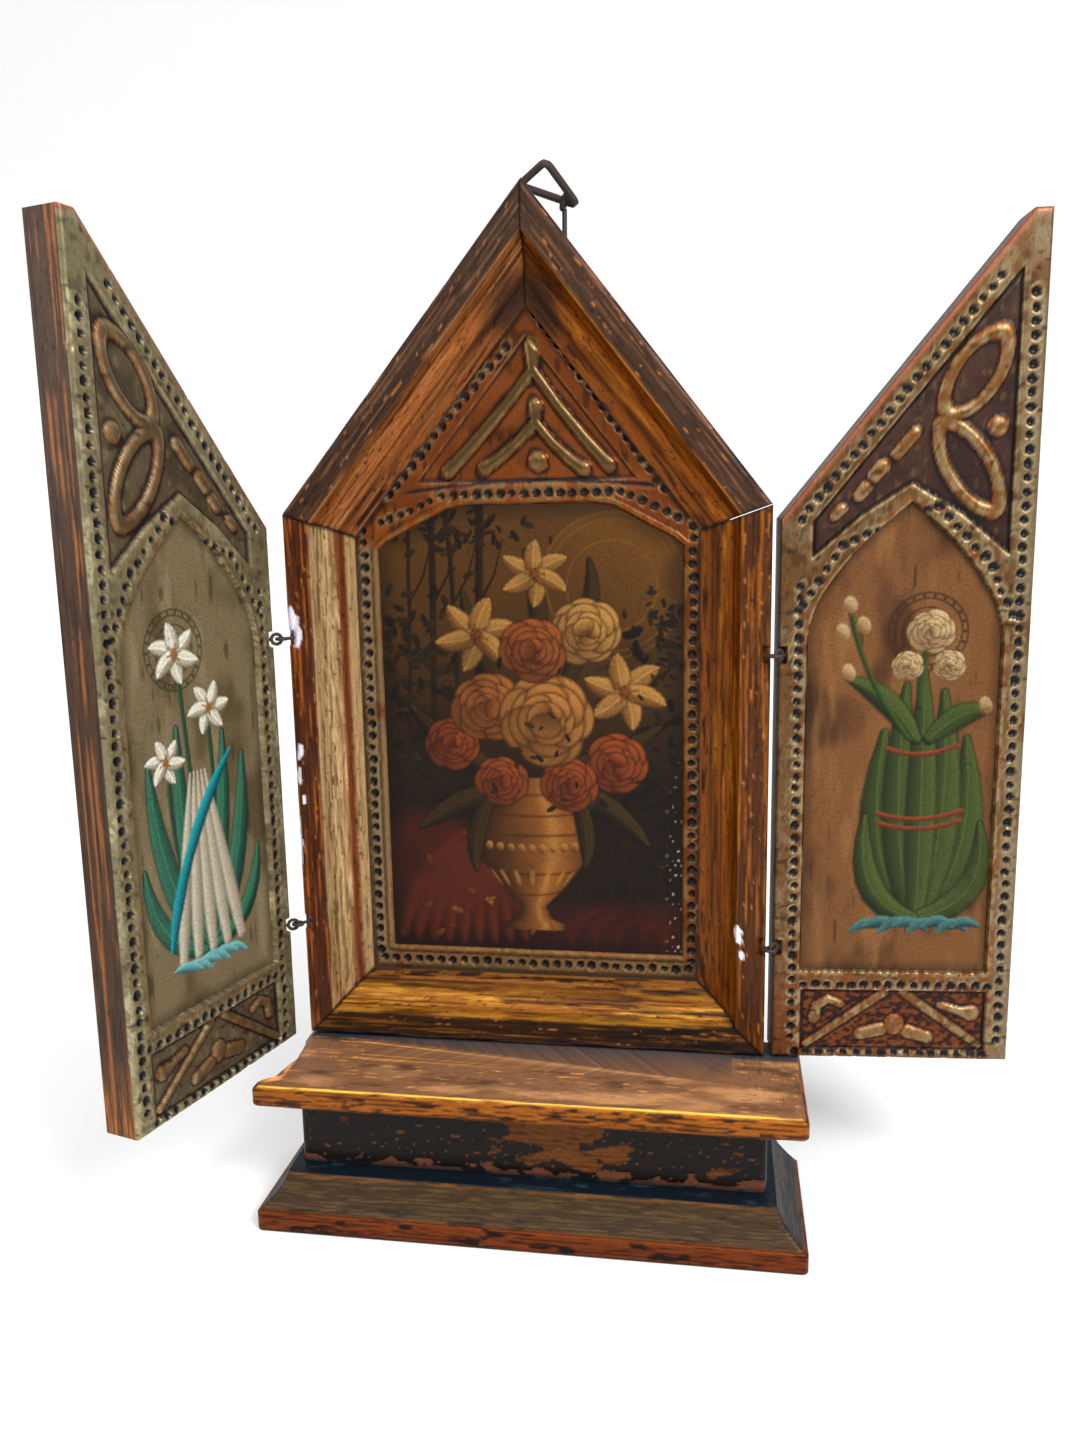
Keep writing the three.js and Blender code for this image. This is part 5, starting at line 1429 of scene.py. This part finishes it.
stain = layered(plan, (16, 22), 513)
edge_gap = np.minimum.reduce([x - x.min(), x.max() - x, z - z.min(), arch_top(x) - z])
paint *= 1 - 0.3 * ease(0.5, 0.75, stain)[:, None]
paint *= 0.5 + 0.5 * ease(0, 7, edge_gap + 2 * (stain - 0.5))[:, None]
paint *= (0.42, 0.32, 0.17)
flakes = ease(0.82, 0.86, mottle(plan, (0.9, 1.6), 515)) * ease(6, 1, x.max() - x) * ease(150,
                                                                                          110, z)
paint[:] = lay(paint, "b89a74", flakes * 0.7)
points, faces, source = close(x, z, depth)
paint = paint[source]
paint[len(x):] = tone("2a1c10")
flow = points[:, (0, 2)]
points = points + (PANEL_X, panel_front, 0)
finish = np.zeros((len(points), 3))
old_print = print_finish("varnished_print", 2.6, 0.45)
sheet = finished_piece("centre_print", points, faces, paint, finish, flow, old_print)
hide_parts("centre_picture")
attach(sheet, "altarpiece")

# ---- wing pictures -----------------------------------------------------------------------
# Two prints behind the pointed windows, each a single tall plant on a plain ground with an
# incised ring about its blossoms: white lilies on grey olive, a green plant on tan.

WING_PICTURE_FRONT, WING_PICTURE_BACK = 1.55, 1.9
RING_PLACE, RING_RADII = (44.5, 182), (11.4, 9.8, 7.2)


def lily_print(picture):
    """White lilies with teal leaves and a teal ribbon."""
    stems = (((38, 92), (40, 130), (44, 178)), ((36, 92), (30, 130), (33, 162)),
             ((40, 92), (52, 126), (50, 148)))
    for path in stems:
        brush(picture, curve_through(*path, 10), [0.9] * 10, tone("10241c"), tone("3a5c40"))
    for start, pull, end, wide in (
        ((38, 92), (56, 112), (58, 150), 3.6), ((37, 92), (20, 112), (19, 148), 3.6),
        ((38, 94), (48, 122), (46, 160), 3.2), ((37, 96), (28, 124), (27, 156), 3.0),
        ((40, 92), (60, 98), (62, 122), 2.8), ((36, 92), (16, 96), (14, 118), 2.8),
    ):
        leaf(picture, start, pull, end, wide, tone("12332c"), tone("3f7a5c"))
    for x_foot, bend in ((30, -5), (34, -2), (38, 1), (42, 4), (46, 7)):
        fold = curve_through((x_foot - 2 + bend * 0.8, 92), (x_foot, 120), (38 + bend * 0.5, 146),
                             8)
        brush(picture, fold, [1.6, 2.2, 2.4, 2.2, 1.9, 1.5, 1.0, 0.4], tone("7a6d54"),
              tone("d9d0b4"), 0.4)
    ribbon = curve_through((24, 150), (46, 128), (54, 96), 10)
    brush(picture, ribbon, [0.6, 1.4, 2, 2.2, 2.2, 2, 2, 2.2, 1.8, 0.6], tone("0b3a44"),
          tone("1fa0a4"))
    for k in range(6):
        cloud = curve_through((22 + 4 * k, 86 + k % 2), (28 + 4 * k, 91), (34 + 4 * k,
                                                                           88 + k % 3), 6)
        brush(picture, cloud, [0.3, 1.1, 1.5, 1.5, 1, 0.2], tone("0f4650"), tone("7fc6c0"))
    for middle, radius, first in (((44.5, 181), 9.5, 0.3), ((32, 164), 8.5, 0.9), ((51, 151), 7.5,
                                                                                   0.1)):
        lily(picture, middle, radius, first, tone("8a8468"), tone("f0ead2"))


def green_plant_print(picture):
    """A slim green plant with cream blossoms, brown-red bands and teal water at its foot."""
    for start, pull, end, wide in (
        ((44, 94), (62, 108), (57, 150), 5.4), ((43, 94), (27, 110), (33, 152), 5.4),
        ((44, 94), (54, 120), (50, 164), 5.0), ((43, 94), (35, 122), (39, 166), 4.8),
        ((44, 94), (45, 130), (44, 170), 4.2), ((44, 94), (66, 98), (62, 124), 3.6),
        ((43, 94), (25, 98), (28, 126), 3.6), ((42, 150), (34, 164), (22, 168), 3.2),
        ((46, 150), (56, 160), (62, 158), 3.2),
    ):
        leaf(picture, start, pull, end, wide, tone("1b2c14"), tone("5c7434"))
    brush(picture, curve_through((43, 160), (42, 170), (46, 182), 6), [1.1] * 6, tone("1b2c14"),
          tone("4c6a30"))
    brush(picture, curve_through((40, 150), (26, 168), (22, 188), 8), [0.8] * 8, tone("1b2c14"),
          tone("4c6a30"))
    for level, half_width in ((124, 12), (127, 12.4), (147, 10)):
        band = curve_through((44 - half_width, level), (44, level - 4), (44 + half_width,
                                                                         level + 1), 9)
        brush(picture, band, [0.75] * 9, tone("5c2412"), tone("a8562c"))
    for k in range(8):
        cloud = curve_through((24 + 4.4 * k, 89 + 2 * (k % 2)), (30 + 4 * k, 95), (36 + 4 * k,
                                                                                   90 + k % 3), 6)
        brush(picture, cloud, [0.3, 1.2, 1.7, 1.7, 1.1, 0.2], tone("123c48"), tone("5fa0a4"))
    for middle, radius, seed in (((45.5, 182), 6.4, 21), ((39, 172), 4.4, 22), ((51, 172), 4.6,
                                                                                23)):
        rose(picture, middle, radius, tone("8a5f34"), tone("ecd3a0"), seed)
    for at in ((22, 190), (20, 182), (26, 184), (62, 160), (22, 170)):
        disc(picture, at, (1.9, 2.7), 0.3, tone("8a5f34"), tone("e8cf9c"))


WING_PRINTS = {
    "left": (lily_print, "756649", "57492f", "8c7d5a", 600),
    "right": (green_plant_print, "8f6236", "5f3c20", "a87a48", 700),
}
line_s, line_z = window_line.T
wing_print = print_finish("wing_print", 4.2, 0.3)
for side, (draw_plant, ground, stained, worn, seed) in WING_PRINTS.items():
    top = lambda s: np.interp(s, line_s, line_z) - PICTURE_EDGE
    s, z, depth, close = picture_sheet(
        WINDOW_LEFT + PICTURE_EDGE, WINDOW_RIGHT - PICTURE_EDGE, WINDOW_FOOT + PICTURE_EDGE, top,
        WING_PICTURE_FRONT, WING_PICTURE_BACK, seed)
    plan = np.column_stack([s, z])
    paint = np.tile(tone(ground), (len(s), 1))
    paint = lay(paint, tone(stained), ease(0.5, 0.75, layered(plan, (12, 26), seed + 1)))
    paint = lay(paint, tone(worn), ease(0.55, 0.8, layered(plan, (5, 30), seed + 3)) * 0.7)
    paint = lay(paint, tone(stained) * 0.5, ease(0.7, 0.8, layered(plan, (2.5, 18),
                                                                   seed + 5)) * 0.7)
    picture = (paint, s, z)
    for radius in RING_RADII:
        turn = np.linspace(0, math.tau, 48)
        ring = np.column_stack([RING_PLACE[0] + radius * np.cos(turn),
                                RING_PLACE[1] + radius * np.sin(turn)])
        brush(picture, ring, [0.3] * 48, tone(stained) * 0.45, tone(stained) * 0.45, 0.6, 0.8)
    for k in range(22):
        turn = math.tau * k / 22
        at = (RING_PLACE[0] + 10.6 * math.cos(turn), RING_PLACE[1] + 10.6 * math.sin(turn))
        disc(picture, at, (0.5, 0.5), 0, tone(stained) * 0.5, tone(stained) * 0.5, edge=0.4)
    draw_plant(picture)
    edge_gap = np.minimum.reduce([s - s.min(), s.max() - s, z - z.min(), top(s) - z])
    paint *= 0.6 + 0.4 * ease(0, 4, edge_gap + 2 * (layered(plan, 9, seed + 7) - 0.5))[:, None]
    paint *= {"left": (0.76, 0.76, 0.8), "right": (0.42, 0.37, 0.32)}[side]
    points, faces, source = close(s, z, depth)
    paint = paint[source]
    paint[len(s):] = tone("2a1c10")
    flow = points[:, (0, 2)]
    place = wing_place(side)
    sheet = finished_piece(side + "_print", place(points[:, 0], points[:, 1], points[:, 2]), faces,
                           paint, np.zeros((len(points), 3)), flow, wing_print)
    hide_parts(side + "_picture")
    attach(sheet, side + "_wing")
